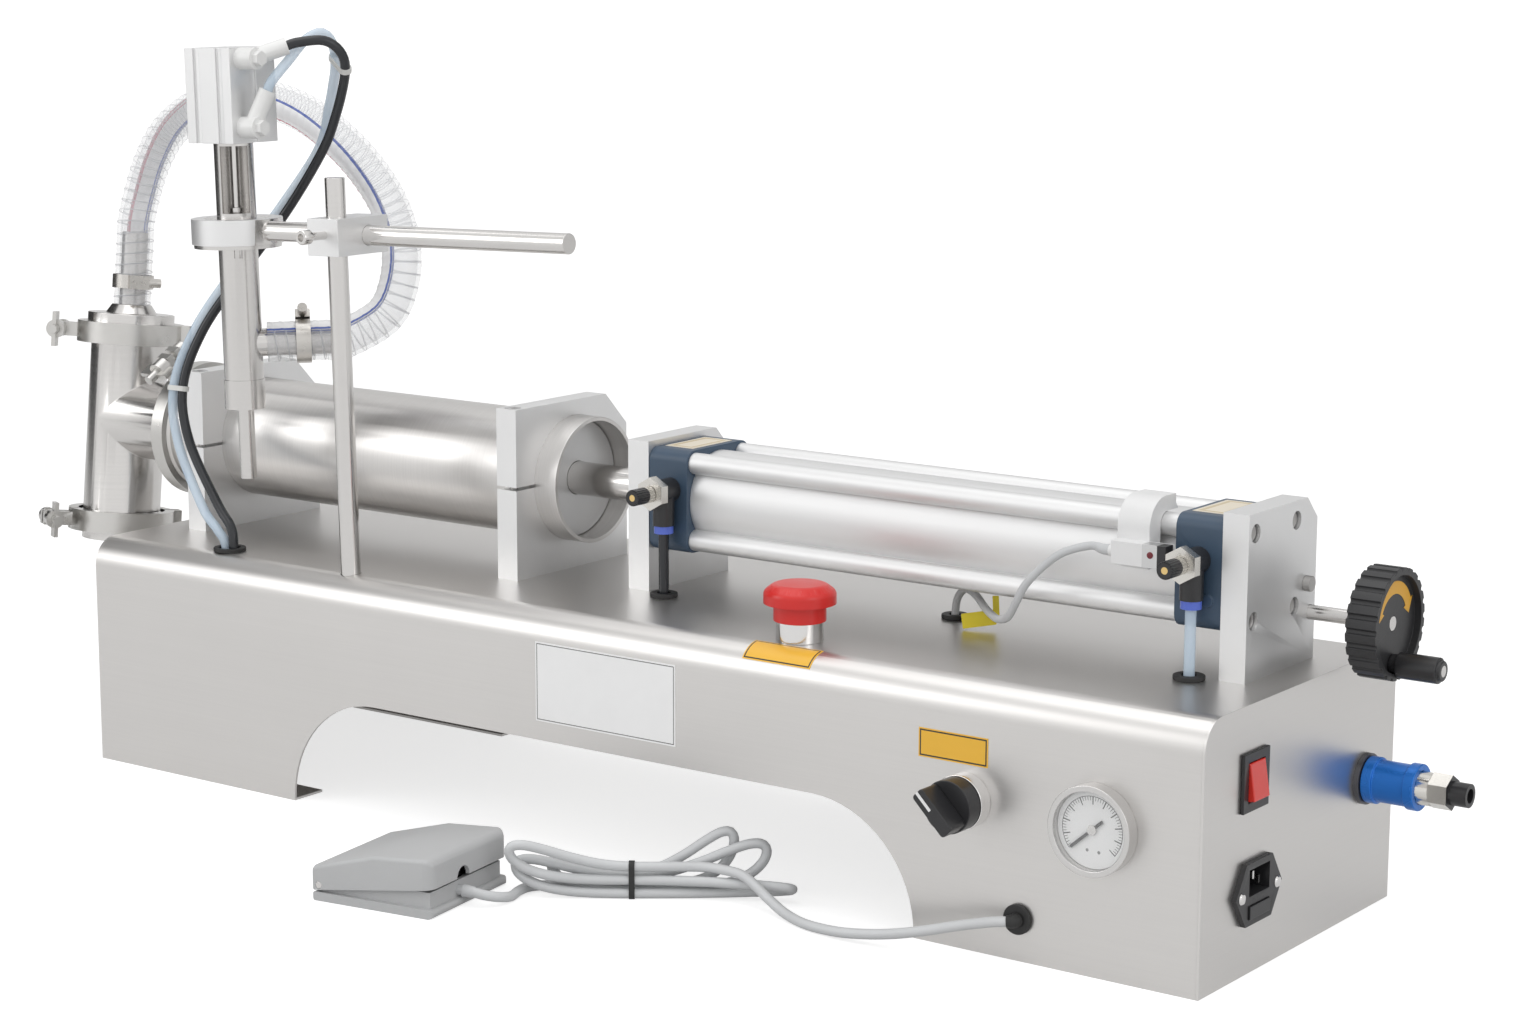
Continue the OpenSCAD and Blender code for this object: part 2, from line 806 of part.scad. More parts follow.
// Cap screws: head first, then the shank down to its end
module cap_screw_x(head_x, shank_x) {
    way = shank_x > head_x ? 1 : -1;
    along_x(min(head_x, head_x + way * head_t), max(head_x, head_x + way * head_t), head_r);
    along_x(min(head_x, shank_x), max(head_x, shank_x), shank_r);
}
module frame_screws() color("dimgray") {
    on_axis() at_ties() {
        cap_screw_x(front_plate_x0 + counterbore_t - head_t, air_start_x + screw_bite);
        cap_screw_x(air_end_x + plate_t - counterbore_t + head_t, air_end_x - screw_bite);
    }
    for (x = [outer_block_x0, inner_block_x1 - block_t])
        translate([x + block_t / 2, clamp_screw_y, 0]) {
            along_z(block_top - counterbore_t,
                block_top - counterbore_t + head_t, head_r);
            along_z(axis_z - screw_bite, block_top - counterbore_t, shank_r);
        }
    foot_screw_places() {
        along_z(cabinet_h - sheet - head_t, cabinet_h - sheet, head_r);
        along_z(cabinet_h - sheet - head_t, cabinet_h + foot_screw_bite, shank_r);
    }
    translate([0, lock_y, cabinet_h + lock_rise]) {
        along_x(air_end_x, rear_plate_x1, shank_r);
        along_x(rear_plate_x1, rear_plate_x1 + head_t, head_r);
    }
}

// Sanitary ferrule: its gasket face at zero, the tube upwards
module ferrule(r_in, r_tube, r_flange, rim_t, depth) rotate_extrude() polygon([
    [r_in, 0], [r_flange, 0], [r_flange, rim_t], [r_tube, depth], [r_in, depth]]);
module at_side(x) on_axis() translate([x, 0, 0]) rotate([0, 90, 0]) children();

module product_cylinder() color("lightsteelblue") {
    on_axis() ring_x(joint_x + side_depth, product_x1, product_d / 2, product_bore / 2);
    at_side(joint_x + gasket_t / 2)
        ferrule(product_bore / 2, product_d / 2, side_flange_r, side_rim_t,
            side_depth + fit_gap);
}

module valve_tee() color("lightgray") {
    on_tee() {
        difference() {
            union() {
                along_z(tee_foot + small_depth, tee_top - small_depth, tee_r);
                rotate([0, 90, 0]) along_z(0, branch_len - side_rim_t, tee_r);
                translate([branch_len - gasket_t / 2, 0, 0]) rotate([0, -90, 0])
                    ferrule(0, tee_r, side_flange_r, side_rim_t, side_depth);
                translate([0, 0, tee_foot + gasket_t / 2])
                    ferrule(0, tee_r, small_flange_r, small_rim_t, small_depth + over);
                translate([0, 0, tee_top - gasket_t / 2]) mirror([0, 0, 1])
                    ferrule(0, tee_r, small_flange_r, small_rim_t, small_depth + over);
            }
            along_z(tee_foot - over, tee_top + over, tee_bore_r);
            rotate([0, 90, 0]) along_z(0, branch_len + over, tee_bore_r);
        }
    }
}

// Hose adapter on top of the tee, and the open suction stub under it
module tee_ports() color("lightgray") on_tee() {
    difference() {
        union() {
            translate([0, 0, tee_top + gasket_t / 2])
                ferrule(0, adapter_r, small_flange_r, small_rim_t, small_rim_t + over);
            along_z(tee_top + small_rim_t, tee_top + small_rim_t + adapter_t, adapter_r);
            translate([0, 0, tee_top + small_rim_t + adapter_t])
                cylinder(h = hub_t, r1 = hub_r0, r2 = hub_r1);
            along_z(tee_top + small_rim_t + adapter_t, hose_foot_z + barb_len, barb_r);
        }
        along_z(tee_top - over, hose_foot_z + barb_len + over, barb_bore_r);
        along_z(tee_top - over, tee_top + ball_lift, ball_r + over);
    }
    difference() {
        union() {
            translate([0, 0, tee_foot - gasket_t / 2]) mirror([0, 0, 1])
                ferrule(0, tee_r, small_flange_r, small_rim_t, small_depth);
            along_z(tee_foot - small_depth - port_tail, tee_foot - small_rim_t, tee_r);
        }
        along_z(tee_foot - small_depth - port_tail - over, tee_foot + over,
            tee_bore_r - tee_wall / 2);
    }
}

// Hinged clamp ring about Z: two halves, lugs and swing bolt
module ring_half(r, half, flange_r, rim_t, mouth_drop) difference() {
    rotate_extrude() polygon([[flange_r - mouth_drop, -half], [r, -half], [r, half],
        [flange_r - mouth_drop, half], [flange_r + body_gap, rim_t + gasket_t],
        [flange_r + body_gap, -rim_t - gasket_t]]);
    box([-r - over, -r - over, -half - over], [r + over, ring_split / 2, half + over]);
}
module clamp_ring(r, half, flange_r, rim_t, mouth_drop) {
    for (side = [0, 1]) mirror([0, side, 0]) {
        difference() {
            union() {
                ring_half(r, half, flange_r, rim_t, mouth_drop);
                box([r - lug_bite, ring_split / 2, -lug_w / 2],
                    [r + lug_reach, ring_split / 2 + lug_t, lug_w / 2]);
                box([-r - lug_t, ring_split / 2, -half], [-r + lug_bite, lug_t, half]);
            }
            translate([r + bolt_at, 0, 0]) along_y(0, lug_t + ring_split, bolt_r + fit_gap);
        }
    }
    translate([r + bolt_at, 0, 0]) {
        along_y(-bolt_back, bolt_out, bolt_r);
        along_y(-bolt_back, -ring_split / 2 - lug_t - fit_gap, bolt_head_r);
    }
}
module wing_nut(r) translate([r + bolt_at, ring_split / 2 + lug_t + body_gap, 0])
    difference() {
        union() {
            along_y(0, nut_len, bolt_r * 2);
            for (side = [-1, 1]) rotate([0, side < 0 ? 180 : 0, 0])
                box([-wing_t / 2, wing_rise / 2, 0], [wing_t / 2, nut_len + wing_rise,
                    wing_span / 2]);
        }
        along_y(-over, nut_len + wing_rise + over, bolt_r + run_gap);
    }
module side_clamp_frame() at_side(joint_x) rotate([0, 0, side_lug_turn + 180]) children();
module top_clamp_frame() on_tee() translate([0, 0, tee_top]) rotate([0, 0, top_lug_turn])
    children();
module bottom_clamp_frame() on_tee() translate([0, 0, tee_foot]) rotate([0, 0, bottom_lug_turn])
    children();
module clamp_rings() color("silver") {
    side_clamp_frame()
        clamp_ring(side_ring_r, side_ring_half, side_flange_r, side_rim_t, side_mouth_drop);
    top_clamp_frame()
        clamp_ring(small_ring_r, small_ring_half, small_flange_r, small_rim_t, small_mouth_drop);
    bottom_clamp_frame()
        clamp_ring(small_ring_r, small_ring_half, small_flange_r, small_rim_t, small_mouth_drop);
}
module side_wing_nut() color("silver") side_clamp_frame() wing_nut(side_ring_r);
module top_wing_nut() color("silver") top_clamp_frame() wing_nut(small_ring_r);
module bottom_wing_nut() color("silver") bottom_clamp_frame() wing_nut(small_ring_r);

// Ball seats with their cage rods, and the three joint gaskets
module seat(z) {
    difference() {
        along_z(z - seat_t, z, tee_bore_r - fit_gap);
        along_z(z - seat_t - over, z + over, ball_r * seat_hole_share);
    }
    for (a = [0:90:270]) rotate([0, 0, a]) translate([cage_out, 0, 0])
        along_z(z - cage_foot, z + cage_h, cage_rod_r);
}
module gasket(r_in, r_out) ring_z(-gasket_t / 2, gasket_t / 2, r_out, r_in);
module valve_seats() color("white") {
    on_tee() {
        seat(inlet_seat_z);
        seat(outlet_seat_z);
        translate([0, 0, tee_top]) gasket(tee_bore_r, small_flange_r);
        translate([0, 0, tee_foot]) gasket(tee_bore_r, small_flange_r);
    }
    at_side(joint_x) gasket(product_bore / 2, side_flange_r);
}
module ball(z) on_tee() translate([0, 0, z + body_gap
    + ball_r * sqrt(1 - seat_hole_share * seat_hole_share)]) sphere(ball_r);
module inlet_ball() color("silver") ball(inlet_seat_z);
module outlet_ball() color("silver") ball(outlet_seat_z);

// Product piston with two seal rings, and the rod with the air piston
module product_piston() on_axis() {
    face = product_x1 - piston_inset;
    seal_x = face * [1, 1] - piston_t * seal_shares;
    color("dimgray") difference() {
        along_x(face - piston_t, face, product_bore / 2 - body_gap);
        along_x(face - piston_t - over, face + over, rod_d / 2 + fit_gap);
        for (x = seal_x) ring_x(x - seal_w, x, product_bore / 2 + over,
            product_bore / 2 - seal_w);
    }
    color("black") for (x = seal_x) ring_x(x - seal_w + fit_gap, x - fit_gap,
        product_bore / 2 - body_gap / 2, product_bore / 2 - seal_w + fit_gap);
}
module piston_rod() color("silver") on_axis() {
    along_x(product_x1 - piston_inset - piston_t, barrel_x1 - end_gap, rod_d / 2);
    ring_x(barrel_x1 - end_gap - air_piston_t, barrel_x1 - end_gap, air_bore / 2 - body_gap,
        rod_d / 2 + fit_gap);
}

module air_barrel() color("silver") on_axis() extrude_x(barrel_x0, barrel_x1) difference() {
    union() {
        circle(barrel_r);
        for (y = [-1, 1], z = [-1, 1]) translate([y * lobe_off, z * lobe_off]) circle(lobe_r);
    }
    circle(air_bore / 2);
    for (y = [-1, 1], z = [-1, 1]) translate([y * tie_off, z * tie_off]) circle(lobe_hole_r);
}

module air_cap(x0, outward, port_x) difference() {
    on_axis() extrude_x(x0, x0 + cap_t) round_rect(cap_w, cap_w, cap_corner);
    on_axis() {
        if (outward < 0) along_x(x0 - over, x0 + cap_t + over, gland_r + fit_gap);
        at_ties() along_x(outward < 0 ? x0 - over : x0 + cap_t - screw_bite - over,
                outward < 0 ? x0 + screw_bite + over : x0 + cap_t + over, shank_hole_r);
    }
    translate([port_x, 0, axis_z + air_port_z])
        along_y(axis_y - cap_w / 2 - over, axis_y - cap_w / 2 + port_depth, port_r);
}
module cushion_screw(x0) translate([x0 + cushion_y, 0, axis_z - cushion_z])
    along_y(axis_y - cap_w / 2 - cushion_t, axis_y - cap_w / 2, cushion_r);
module air_caps() {
    color("darkslategray") {
        air_cap(air_start_x, -1, front_control_x);
        air_cap(barrel_x1, 1, rear_control_x);
    }
    color("gray") {
        cushion_screw(air_start_x);
        cushion_screw(air_end_x - cushion_y * 2);
        on_axis() ring_x(front_plate_x0, front_plate_x0 + plate_t + gland_t, gland_r,
            rod_d / 2 + run_gap);
    }
}

// Flow control: stem, hexagon, banjo body and elbow to the tube
module at_control(x) translate([x, axis_y - cap_w / 2, axis_z + air_port_z]) children();
module flow_control(x) at_control(x) {
    difference() {
        union() {
            along_y(-control_len, port_depth - over, port_r - fit_gap);
            along_y(-control_len, -fit_gap, control_r);
            translate([0, -control_len, 0]) rotate([90, 30, 0])
                cylinder(h = hex_t, r = hex_r, $fn = 6);
        }
        along_y(-control_len - hex_t - over, -over, needle_r + run_gap);
    }
    difference() {
        union() {
            translate([0, -control_len / 2, 0]) along_z(-elbow_drop, 0, elbow_r);
            translate([0, -control_len / 2, 0]) along_z(-collar_drop, -elbow_drop, collar_r);
        }
        along_y(-control_len - over, over, control_r + fit_gap);
        translate([0, -control_len / 2, 0])
            along_z(-collar_drop - over, -elbow_drop + elbow_r, tube_r + fit_gap);
    }
}
module flow_controls() color("dimgray") {
    flow_control(front_control_x);
    flow_control(rear_control_x);
}
module flow_knob(x) at_control(x) {
    along_y(-control_len - hex_t - body_gap - flow_knob_len, -control_len - hex_t - body_gap,
        flow_knob_r);
    along_y(-control_len - hex_t - body_gap, -control_len - hex_t - body_gap + needle_len,
        needle_r);
}
module front_flow_knob() color("black") flow_knob(front_control_x);
module rear_flow_knob() color("black") flow_knob(rear_control_x);

// Sensor carriage: a block on the lead screw, behind the barrel
module sensor_carriage() color("whitesmoke") extrude_x(carriage_x0, carriage_x0 + carriage_w)
    difference() {
        translate([axis_y + carriage_inner, bearing_z - nut_drop])
            square([carriage_back, axis_z + carriage_rise - bearing_z + nut_drop]);
        translate([bearing_y, bearing_z]) circle(screw_d / 2 + run_gap);
    }
// Reed sensor and its bracket, hooked over the barrel's front lobe
module bracket_outline() {
    front = axis_y - carriage_inner - carriage_front;
    top = axis_z + carriage_inner + bracket_roof;
    low = axis_z + bracket_skirt;
    difference() {
        union() {
            translate([front, low])
                square([axis_y - bracket_split - front, top - low - bracket_corner]);
            translate([front + bracket_corner, low])
                square([axis_y - bracket_split - front - bracket_corner, top - low]);
            translate([front + bracket_corner, top - bracket_corner]) circle(bracket_corner);
        }
        translate([axis_y, axis_z])
            round_rect(2 * carriage_inner, 2 * carriage_inner, bracket_inner_corner);
    }
}
module reed_sensor() color("black") {
    front = axis_y - carriage_inner - carriage_front;
    extrude_x(carriage_x0, carriage_x0 + carriage_w) bracket_outline();
    box([sensor_x0, front - sensor_t, axis_z + sensor_z0],
        [sensor_x0 + sensor_len, front + over, axis_z + sensor_z0 + sensor_h]);
    translate([0, front - sensor_t / 2, axis_z + sensor_z0 + sensor_h / 2])
        along_x(sensor_x0 - boot_len, sensor_x0, cable_r + over);
}
module at_screw() translate([0, bearing_y, bearing_z]) children();
module lead_screw() color("silver") at_screw()
    along_x(front_plate_x0 + bearing_seat + body_gap, wheel_x0 + wheel_t - wheel_inset,
        screw_d / 2);
module handwheel() color("whitesmoke") at_screw() difference() {
    union() {
        along_x(wheel_x0, wheel_x0 + wheel_t, wheel_d / 2);
        along_x(wheel_x0 - wheel_inset, wheel_x0, wheel_hub_r);
    }
    along_x(wheel_x0 + wheel_t - wheel_inset, wheel_x0 + wheel_t + over,
        wheel_d / 2 - wheel_inset);
    along_x(wheel_x0 - wheel_inset - over, wheel_x0 + wheel_t + over, screw_d / 2 + fit_gap);
    translate([0, 0, -crank_off])
        along_x(wheel_x0 - over, wheel_x0 + wheel_t + over, crank_pin_r + run_gap);
    translate([0, 0, -crank_off]) along_x(wheel_x0 + wheel_t - wheel_inset,
        wheel_x0 + wheel_t + over, crank_neck_r + body_gap);
    for (k = [1:wheel_flutes]) rotate([360 * k / wheel_flutes, 0, 0])
        translate([0, 0, wheel_d / 2])
            along_x(wheel_x0 - over, wheel_x0 + wheel_t + over, flute_r);
}
module crank_knob() color("black") at_screw() translate([0, 0, -crank_off]) {
    x0 = wheel_x0 + wheel_t - wheel_inset + body_gap;
    along_x(wheel_x0, x0 + crank_len, crank_pin_r);
    along_x(x0, x0 + wheel_inset, crank_neck_r);
    along_x(x0 + wheel_inset, x0 + crank_len + wheel_inset, crank_r);
    along_x(x0 + crank_len + wheel_inset, x0 + crank_len + wheel_inset + crank_end,
        crank_neck_r);
}

// Stand rod with the nut under the sheet
module stand_rod() color("silver") on_stand() {
    along_z(-stand_tail, stand_len, stand_r);
    difference() {
        hex_z(-sheet - stand_nut_t - stand_nut_drop, -sheet - stand_nut_drop, stand_nut_r);
        along_z(-stand_tail, 0, stand_r + fit_gap);
    }
}
module cross_block() color("silver") on_stand() difference() {
    box([cross_x0, cross_y0, cross_z0], [cross_x1, cross_y1, cross_z1]);
    along_z(cross_z0 - over, cross_z1 + over, stand_r + run_gap);
    translate([0, arm_y, arm_z]) along_x(cross_x0 - over, cross_x1 + over, stand_r + fit_gap);
    translate([0, 0, thumb_z]) along_x(cross_x0 - over, -stand_r, thumb_shank_r + run_gap);
}
module height_screw() color("silver") on_stand() translate([0, 0, thumb_z]) {
    along_x(cross_x0 - body_gap - thumb_head_t, cross_x0 - body_gap, thumb_head_r);
    along_x(cross_x0 - body_gap - thumb_head_t, -stand_r - body_gap, thumb_shank_r);
}
module nozzle_arm() color("silver") {
    on_stand() translate([0, arm_y, arm_z]) along_x(nozzle_x + ring_r - over, arm_x1, stand_r);
    on_nozzle() ring_z(ring_z0, ring_z1, ring_r, ring_bore_r);
}

// Nozzle body: tube with side inlet, flange and window tube
module nozzle_body() color("silver") on_nozzle() {
    difference() {
        union() {
            along_z(nozzle_z0, ring_z0 - lip_t, nozzle_r);
            along_z(ring_z0 - lip_t, ring_z0, lip_r);
            along_z(ring_z0, ring_z1, ring_bore_r - fit_gap);
            along_z(ring_z1, window_top, nozzle_r);
            rotate([0, 0, inlet_turn]) translate([0, 0, inlet_z])
                along_x(0, inlet_reach, barb_r);
        }
        along_z(nozzle_z0 - over, nozzle_z0 + chamber_h, nozzle_bore_r);
        along_z(nozzle_z0, window_top + over, valve_rod_r + run_gap);
        along_z(ring_z1 + window_sill, window_top + over, nozzle_r - window_wall);
        rotate([0, 0, inlet_turn]) translate([0, 0, inlet_z])
            along_x(0, inlet_reach + over, barb_bore_r);
        rotate([0, 0, -inlet_turn])
            box([0, -nozzle_r * sin(window_half), ring_z1 + window_sill + over],
                [nozzle_r + over, nozzle_r * sin(window_half), window_top - window_sill]);
    }
    translate([set_screw_x, -set_screw_x, 0])
        along_z(ring_z0 - lip_t - set_screw_l, ring_z0 - lip_t, set_screw_r);
}
module nozzle_spout() color("silver") on_nozzle() {
    difference() {
        along_z(nozzle_nut_z, nozzle_z0 - fit_gap, nozzle_nut_r);
        along_z(nozzle_nut_z + nozzle_web, nozzle_z0 + over, nozzle_bore_r);
        along_z(nozzle_nut_z - over, nozzle_z0, spout_d / 2 + fit_gap);
    }
    difference() {
        union() {
            along_z(spout_z0, nozzle_nut_z + nozzle_web, spout_d / 2);
            along_z(nozzle_nut_z + nozzle_web, nozzle_nut_z + seat_cone_h,
                nozzle_bore_r - fit_gap);
        }
        along_z(spout_z0 - over, nozzle_z0, spout_bore_r);
    }
}
module nozzle_actuator() color("silver") on_nozzle() difference() {
    translate([-actuator_w / 2, -actuator_w / 2, window_top])
        cube([actuator_w, actuator_w, actuator_h]);
    along_z(window_top - over, window_top + actuator_h, valve_rod_r + run_gap);
    along_z(window_top + actuator_floor, window_top + actuator_h - actuator_floor,
        actuator_bore_r);
    for (side = [-1, 1]) translate([side * actuator_w / 4, -actuator_w / 2, 0])
        box([-actuator_groove_w / 2, -over, window_top - over],
            [actuator_groove_w / 2, actuator_groove, window_top + actuator_h + over]);
    box([actuator_w / 2 - actuator_groove, -actuator_groove_w / 2, window_top - over],
        [actuator_w / 2 + over, actuator_groove_w / 2, window_top + actuator_h + over]);
}
module valve_rod() color("silver") on_nozzle() {
    seat_z = nozzle_nut_z + seat_cone_h + body_gap;
    along_z(seat_z, actuator_low + actuator_piston_t, valve_rod_r);
    along_z(seat_z, seat_z + valve_tip_h, valve_tip_r);
    along_z(valve_collar_z, valve_collar_z + valve_collar_t, valve_collar_r);
    along_z(actuator_low,
        actuator_low + actuator_piston_t, actuator_bore_r - body_gap);
}
// Elbow on the actuator's side: round body, hexagon bolt and tube arm
module elbow(z, tilt) on_nozzle() translate([actuator_w / 2 + elbow_body_r, elbow_y, z]) {
    difference() {
        union() {
            along_x(-elbow_body_r, elbow_body_r, elbow_body_r);
            rotate([0, tilt, elbow_turn]) along_z(0, elbow_arm, elbow_arm_r);
        }
        rotate([0, tilt, elbow_turn]) along_z(elbow_arm - elbow_body_r, elbow_arm + over,
            tube_r + body_gap);
    }
    translate([elbow_body_r - over, 0, 0]) rotate([0, 90, 0])
        cylinder(h = elbow_hex_t, r = elbow_hex_r, $fn = 6);
}
module actuator_elbows() color("whitesmoke") {
    elbow(upper_elbow_z, upper_elbow_tilt);
    elbow(lower_elbow_z, lower_elbow_tilt);
}
function elbow_run(z, tilt) = [for (out = [tube_d, 0, body_gap - elbow_body_r])
    let (along = elbow_arm + out)
    stand_point([nozzle_x + actuator_w / 2 + elbow_body_r + along * sin(tilt) * cos(elbow_turn),
        arm_y + elbow_y + along * sin(tilt) * sin(elbow_turn), z + along * cos(tilt)])];

// Worm clamp about the Z axis: band, tightening box and screw
module worm_clamp() {
    ring_z(-worm_w / 2, worm_w / 2, hose_r + body_gap + worm_t, hose_r + body_gap);
    translate([0, -hose_r - body_gap - worm_t, 0]) {
        box([-worm_box_l / 2, -worm_box_h, -worm_w / 2], [worm_box_l / 2, worm_t / 2,
            worm_w / 2]);
        translate([0, -worm_box_h / 2, 0])
            along_x(worm_box_l / 2, worm_box_l / 2 + worm_screw_l, worm_screw_r);
    }
}
module top_hose_clamp() color("silver") on_tee() translate([0, 0, hose_foot_z + top_worm_z])
    rotate([0, 0, 60]) worm_clamp();
module nozzle_hose_clamp() color("silver") on_nozzle() rotate([0, 0, inlet_turn])
    translate([nozzle_worm_at, 0, inlet_z]) rotate([0, 90, 0]) rotate([0, 0, 240]) worm_clamp();

// Ribbed hose from the tee's adapter to the nozzle's side inlet
hose_line = concat(
    [for (z = [0, barb_len / 2, barb_len - hose_d / 8, barb_len + hose_d / 4])
        tee_point(hose_foot_z + z)],
    hose_route,
    [for (reach = [inlet_reach + hose_d / 4, inlet_reach - hose_d / 8,
        (inlet_reach + hose_start) / 2, hose_start]) inlet_point(reach)]);
hose_len = run_length(smooth(hose_line, 4));
hose_ribs = round(hose_len / rib_pitch);
module filling_hose() color("whitesmoke") {
    places = even(smooth(hose_line, 4), 2 * hose_ribs);
    swept_hollow(places, [for (i = [0:len(places) - 1]) i % 2 == 0 ? hose_r - rib_depth : hose_r],
        hose_bore_r, 8, [1, 0, 0]);
}

// Air tubes and sensor cable, from fittings through the grommets
tube_floor_z = cabinet_h - valve_drop + body_gap;
black_line = concat([[nozzle_grommet[0] + tube_side, nozzle_grommet[1], tube_floor_z],
    [nozzle_grommet[0] + tube_side, nozzle_grommet[1], cabinet_h + grommet_rise]],
    black_route, elbow_run(upper_elbow_z, upper_elbow_tilt));
clear_line = concat([[nozzle_grommet[0] - tube_side, nozzle_grommet[1], tube_floor_z],
    [nozzle_grommet[0] - tube_side, nozzle_grommet[1], cabinet_h + grommet_rise]],
    clear_route, elbow_run(lower_elbow_z, lower_elbow_tilt));
module black_air_tube() color("black")
    swept(even(smooth(black_line, 4), 44), tube_r, 8, [1, 0, 0]);
module clear_air_tube() color("lightblue")
    swept(even(smooth(clear_line, 4), 44), tube_r, 8, [1, 0, 0]);
module cylinder_air_tubes() {
    top_z = axis_z + air_port_z - elbow_drop + elbow_r - body_gap;
    left = valve_b + [-fit_gap, valve_d / 2, valve_h / 2];
    right = valve_b + [valve_w + fit_gap, valve_d / 2, valve_h / 2];
    color("black") swept(smooth(concat([for (z = [top_z, cabinet_h + tube_d, cabinet_h - tube_d])
        [front_control_x, control_y, z]], front_tube_route, [for (d = [-2, -1, 0])
        left + [d * tube_d, 0, 0]]), 3), tube_r, 8, [1, 0, 0]);
    color("lightblue") swept(smooth(concat([for (z = [top_z, cabinet_h + tube_d,
        cabinet_h - tube_d]) [rear_control_x, control_y, z]], rear_tube_route,
        [for (d = [2, 1, 0]) right + [d * tube_d, 0, 0]]), 3), tube_r, 8, [1, 0, 0]);
}
module sensor_cable() color("gray") {
    start = [sensor_x0 - boot_len - body_gap, axis_y - carriage_inner - carriage_front
        - sensor_t / 2, axis_z + sensor_z0 + sensor_h / 2];
    end = [sensor_grommet[0], sensor_grommet[1], cabinet_h - board_drop + chip_h];
    swept(smooth(concat([start, start - [2 * cable_r, 0, 0]], cable_route, [end + [0, 0, chip_h], end]), 3), cable_r, 8,
        [0, 0, 1]);
}

// Rubber grommets: a lip on each side of the sheet and a neck through it
module grommet(r, bore) difference() {
    union() {
        along_z(0, grommet_rise, r + grommet_lip);
        along_z(-sheet - grommet_rise, 0, r - fit_gap);
        along_z(-sheet - grommet_rise, -sheet - body_gap, r + grommet_lip / 2);
    }
    along_z(-sheet - grommet_rise - over, grommet_rise + over, bore);
}
module grommets() color("black") {
    translate([nozzle_grommet[0], nozzle_grommet[1], cabinet_h])
        grommet(nozzle_grommet_r, tube_side + tube_r + body_gap);
    translate([front_grommet[0], front_grommet[1], cabinet_h])
        grommet(tube_grommet_r, tube_r + fit_gap + over);
    translate([sensor_grommet[0], sensor_grommet[1], cabinet_h])
        grommet(sensor_grommet_r, cable_r + fit_gap + over);
    translate([rear_grommet[0], rear_grommet[1], cabinet_h])
        grommet(rear_grommet_r, tube_r + fit_gap + over);
    translate([cord_grommet_x, -half_depth, cord_grommet_z]) rotate([90, 0, 0])
        grommet(cord_grommet_r, cord_r + body_gap);
}

// Fixed bases of the stop button, the selector and the power switch
module control_bases() {
    translate([estop_x, estop_y, cabinet_h]) {
        color("silver") ring_z(0, estop_collar_t, estop_collar_r, estop_stem_r - over);
        color("red") ring_z(estop_collar_t, estop_collar_t + estop_base_t, estop_base_r,
            estop_stem_r - over);
        color("darkred") ring_z(-sheet - estop_block_h, 0, estop_stem_r, estop_stem_r - over);
        color("darkred") difference() {
            translate([-estop_block / 2, -estop_block / 2, -sheet - estop_block_h])
                cube([estop_block, estop_block, estop_block_h]);
            along_z(-estop_block_h - sheet - over, 0, estop_stem_r + fit_gap);
        }
    }
    translate([selector_x, -half_depth, selector_z]) {
        color("dimgray") ring_y(-bezel_t, 0, bezel_r, knob_r + body_gap);
        color("black") difference() {
            union() {
                along_y(-bezel_t / 2, -fit_gap, knob_r + body_gap - fit_gap);
                along_y(-over, sheet + over, knob_stem_r + over - fit_gap);
                translate([-selector_body / 2, sheet + fit_gap, -selector_body / 2])
                    cube([selector_body, selector_body_t, selector_body]);
            }
            along_y(-bezel_t, selector_body_t / 2, knob_stem_r + run_gap - over);
        }
    }
    color("black") translate([half_len, switch_y, switch_z]) difference() {
        union() {
            extrude_x(0, switch_t) square([switch_w, switch_h], center = true);
            extrude_x(-switch_depth, fit_gap)
                square([switch_w - 2 * switch_rim - 2 * fit_gap,
                    switch_h - 2 * switch_rim - 2 * fit_gap], center = true);
        }
        extrude_x(-switch_depth + switch_floor, switch_t + over)
            square([switch_w - 4 * switch_rim, switch_h - 4 * switch_rim], center = true);
    }
}
module estop_button() color("red") translate([estop_x, estop_y, cabinet_h]) {
    base = estop_collar_t + estop_base_t + estop_travel + body_gap - estop_base_t / 2;
    along_z(-estop_block_h / 2, base, estop_stem_r - over - run_gap);
    difference() {
        union() {
            along_z(base, base + estop_cap_t, estop_cap_r);
            translate([0, 0, base + estop_cap_t])
                cylinder(h = estop_crown, r1 = estop_cap_r, r2 = estop_cap_r * estop_crown_share);
        }
        along_z(base - over, base + estop_travel, estop_base_r + body_gap);
    }
    along_z(base, base + estop_cap_t, estop_stem_r - over - run_gap);
}
module selector_knob() color("black") translate([selector_x, -half_depth, selector_z]) {
    along_y(-bezel_t - knob_disc_t, -bezel_t - body_gap, knob_disc_r);
    along_y(-bezel_t - knob_disc_t, -bezel_t / 2 - body_gap, knob_r);
    along_y(-bezel_t, selector_body_t / 2 - body_gap, knob_stem_r - over);
    rotate([0, 45, 0]) translate([0, -bezel_t - knob_disc_t, 0]) rotate([90, 0, 0])
        linear_extrude(knob_wing_t) round_rect(knob_wing_l, knob_wing_w, knob_wing_w / 4);
}
module gauge_case() translate([gauge_x, -half_depth, gauge_z]) {
    color("black") difference() {
        union() {
            along_y(-gauge_t, 0, gauge_r);
            along_y(0, gauge_back_t, gauge_back_r);
            along_y(gauge_back_t, gauge_back_t + screw_bite, gauge_stem_r);
        }
        along_y(-gauge_t - over, gauge_dial_t - gauge_t / 2, gauge_r - gauge_rim);
        along_y(-gauge_t, gauge_back_t - gauge_rim, needle_hub_r / 2 + run_gap);
    }
    color("white") ring_y(-gauge_t / 2 + fit_gap, -gauge_t / 2 + gauge_dial_t - fit_gap,
        gauge_r - gauge_rim - fit_gap, needle_hub_r / 2 + run_gap);
}
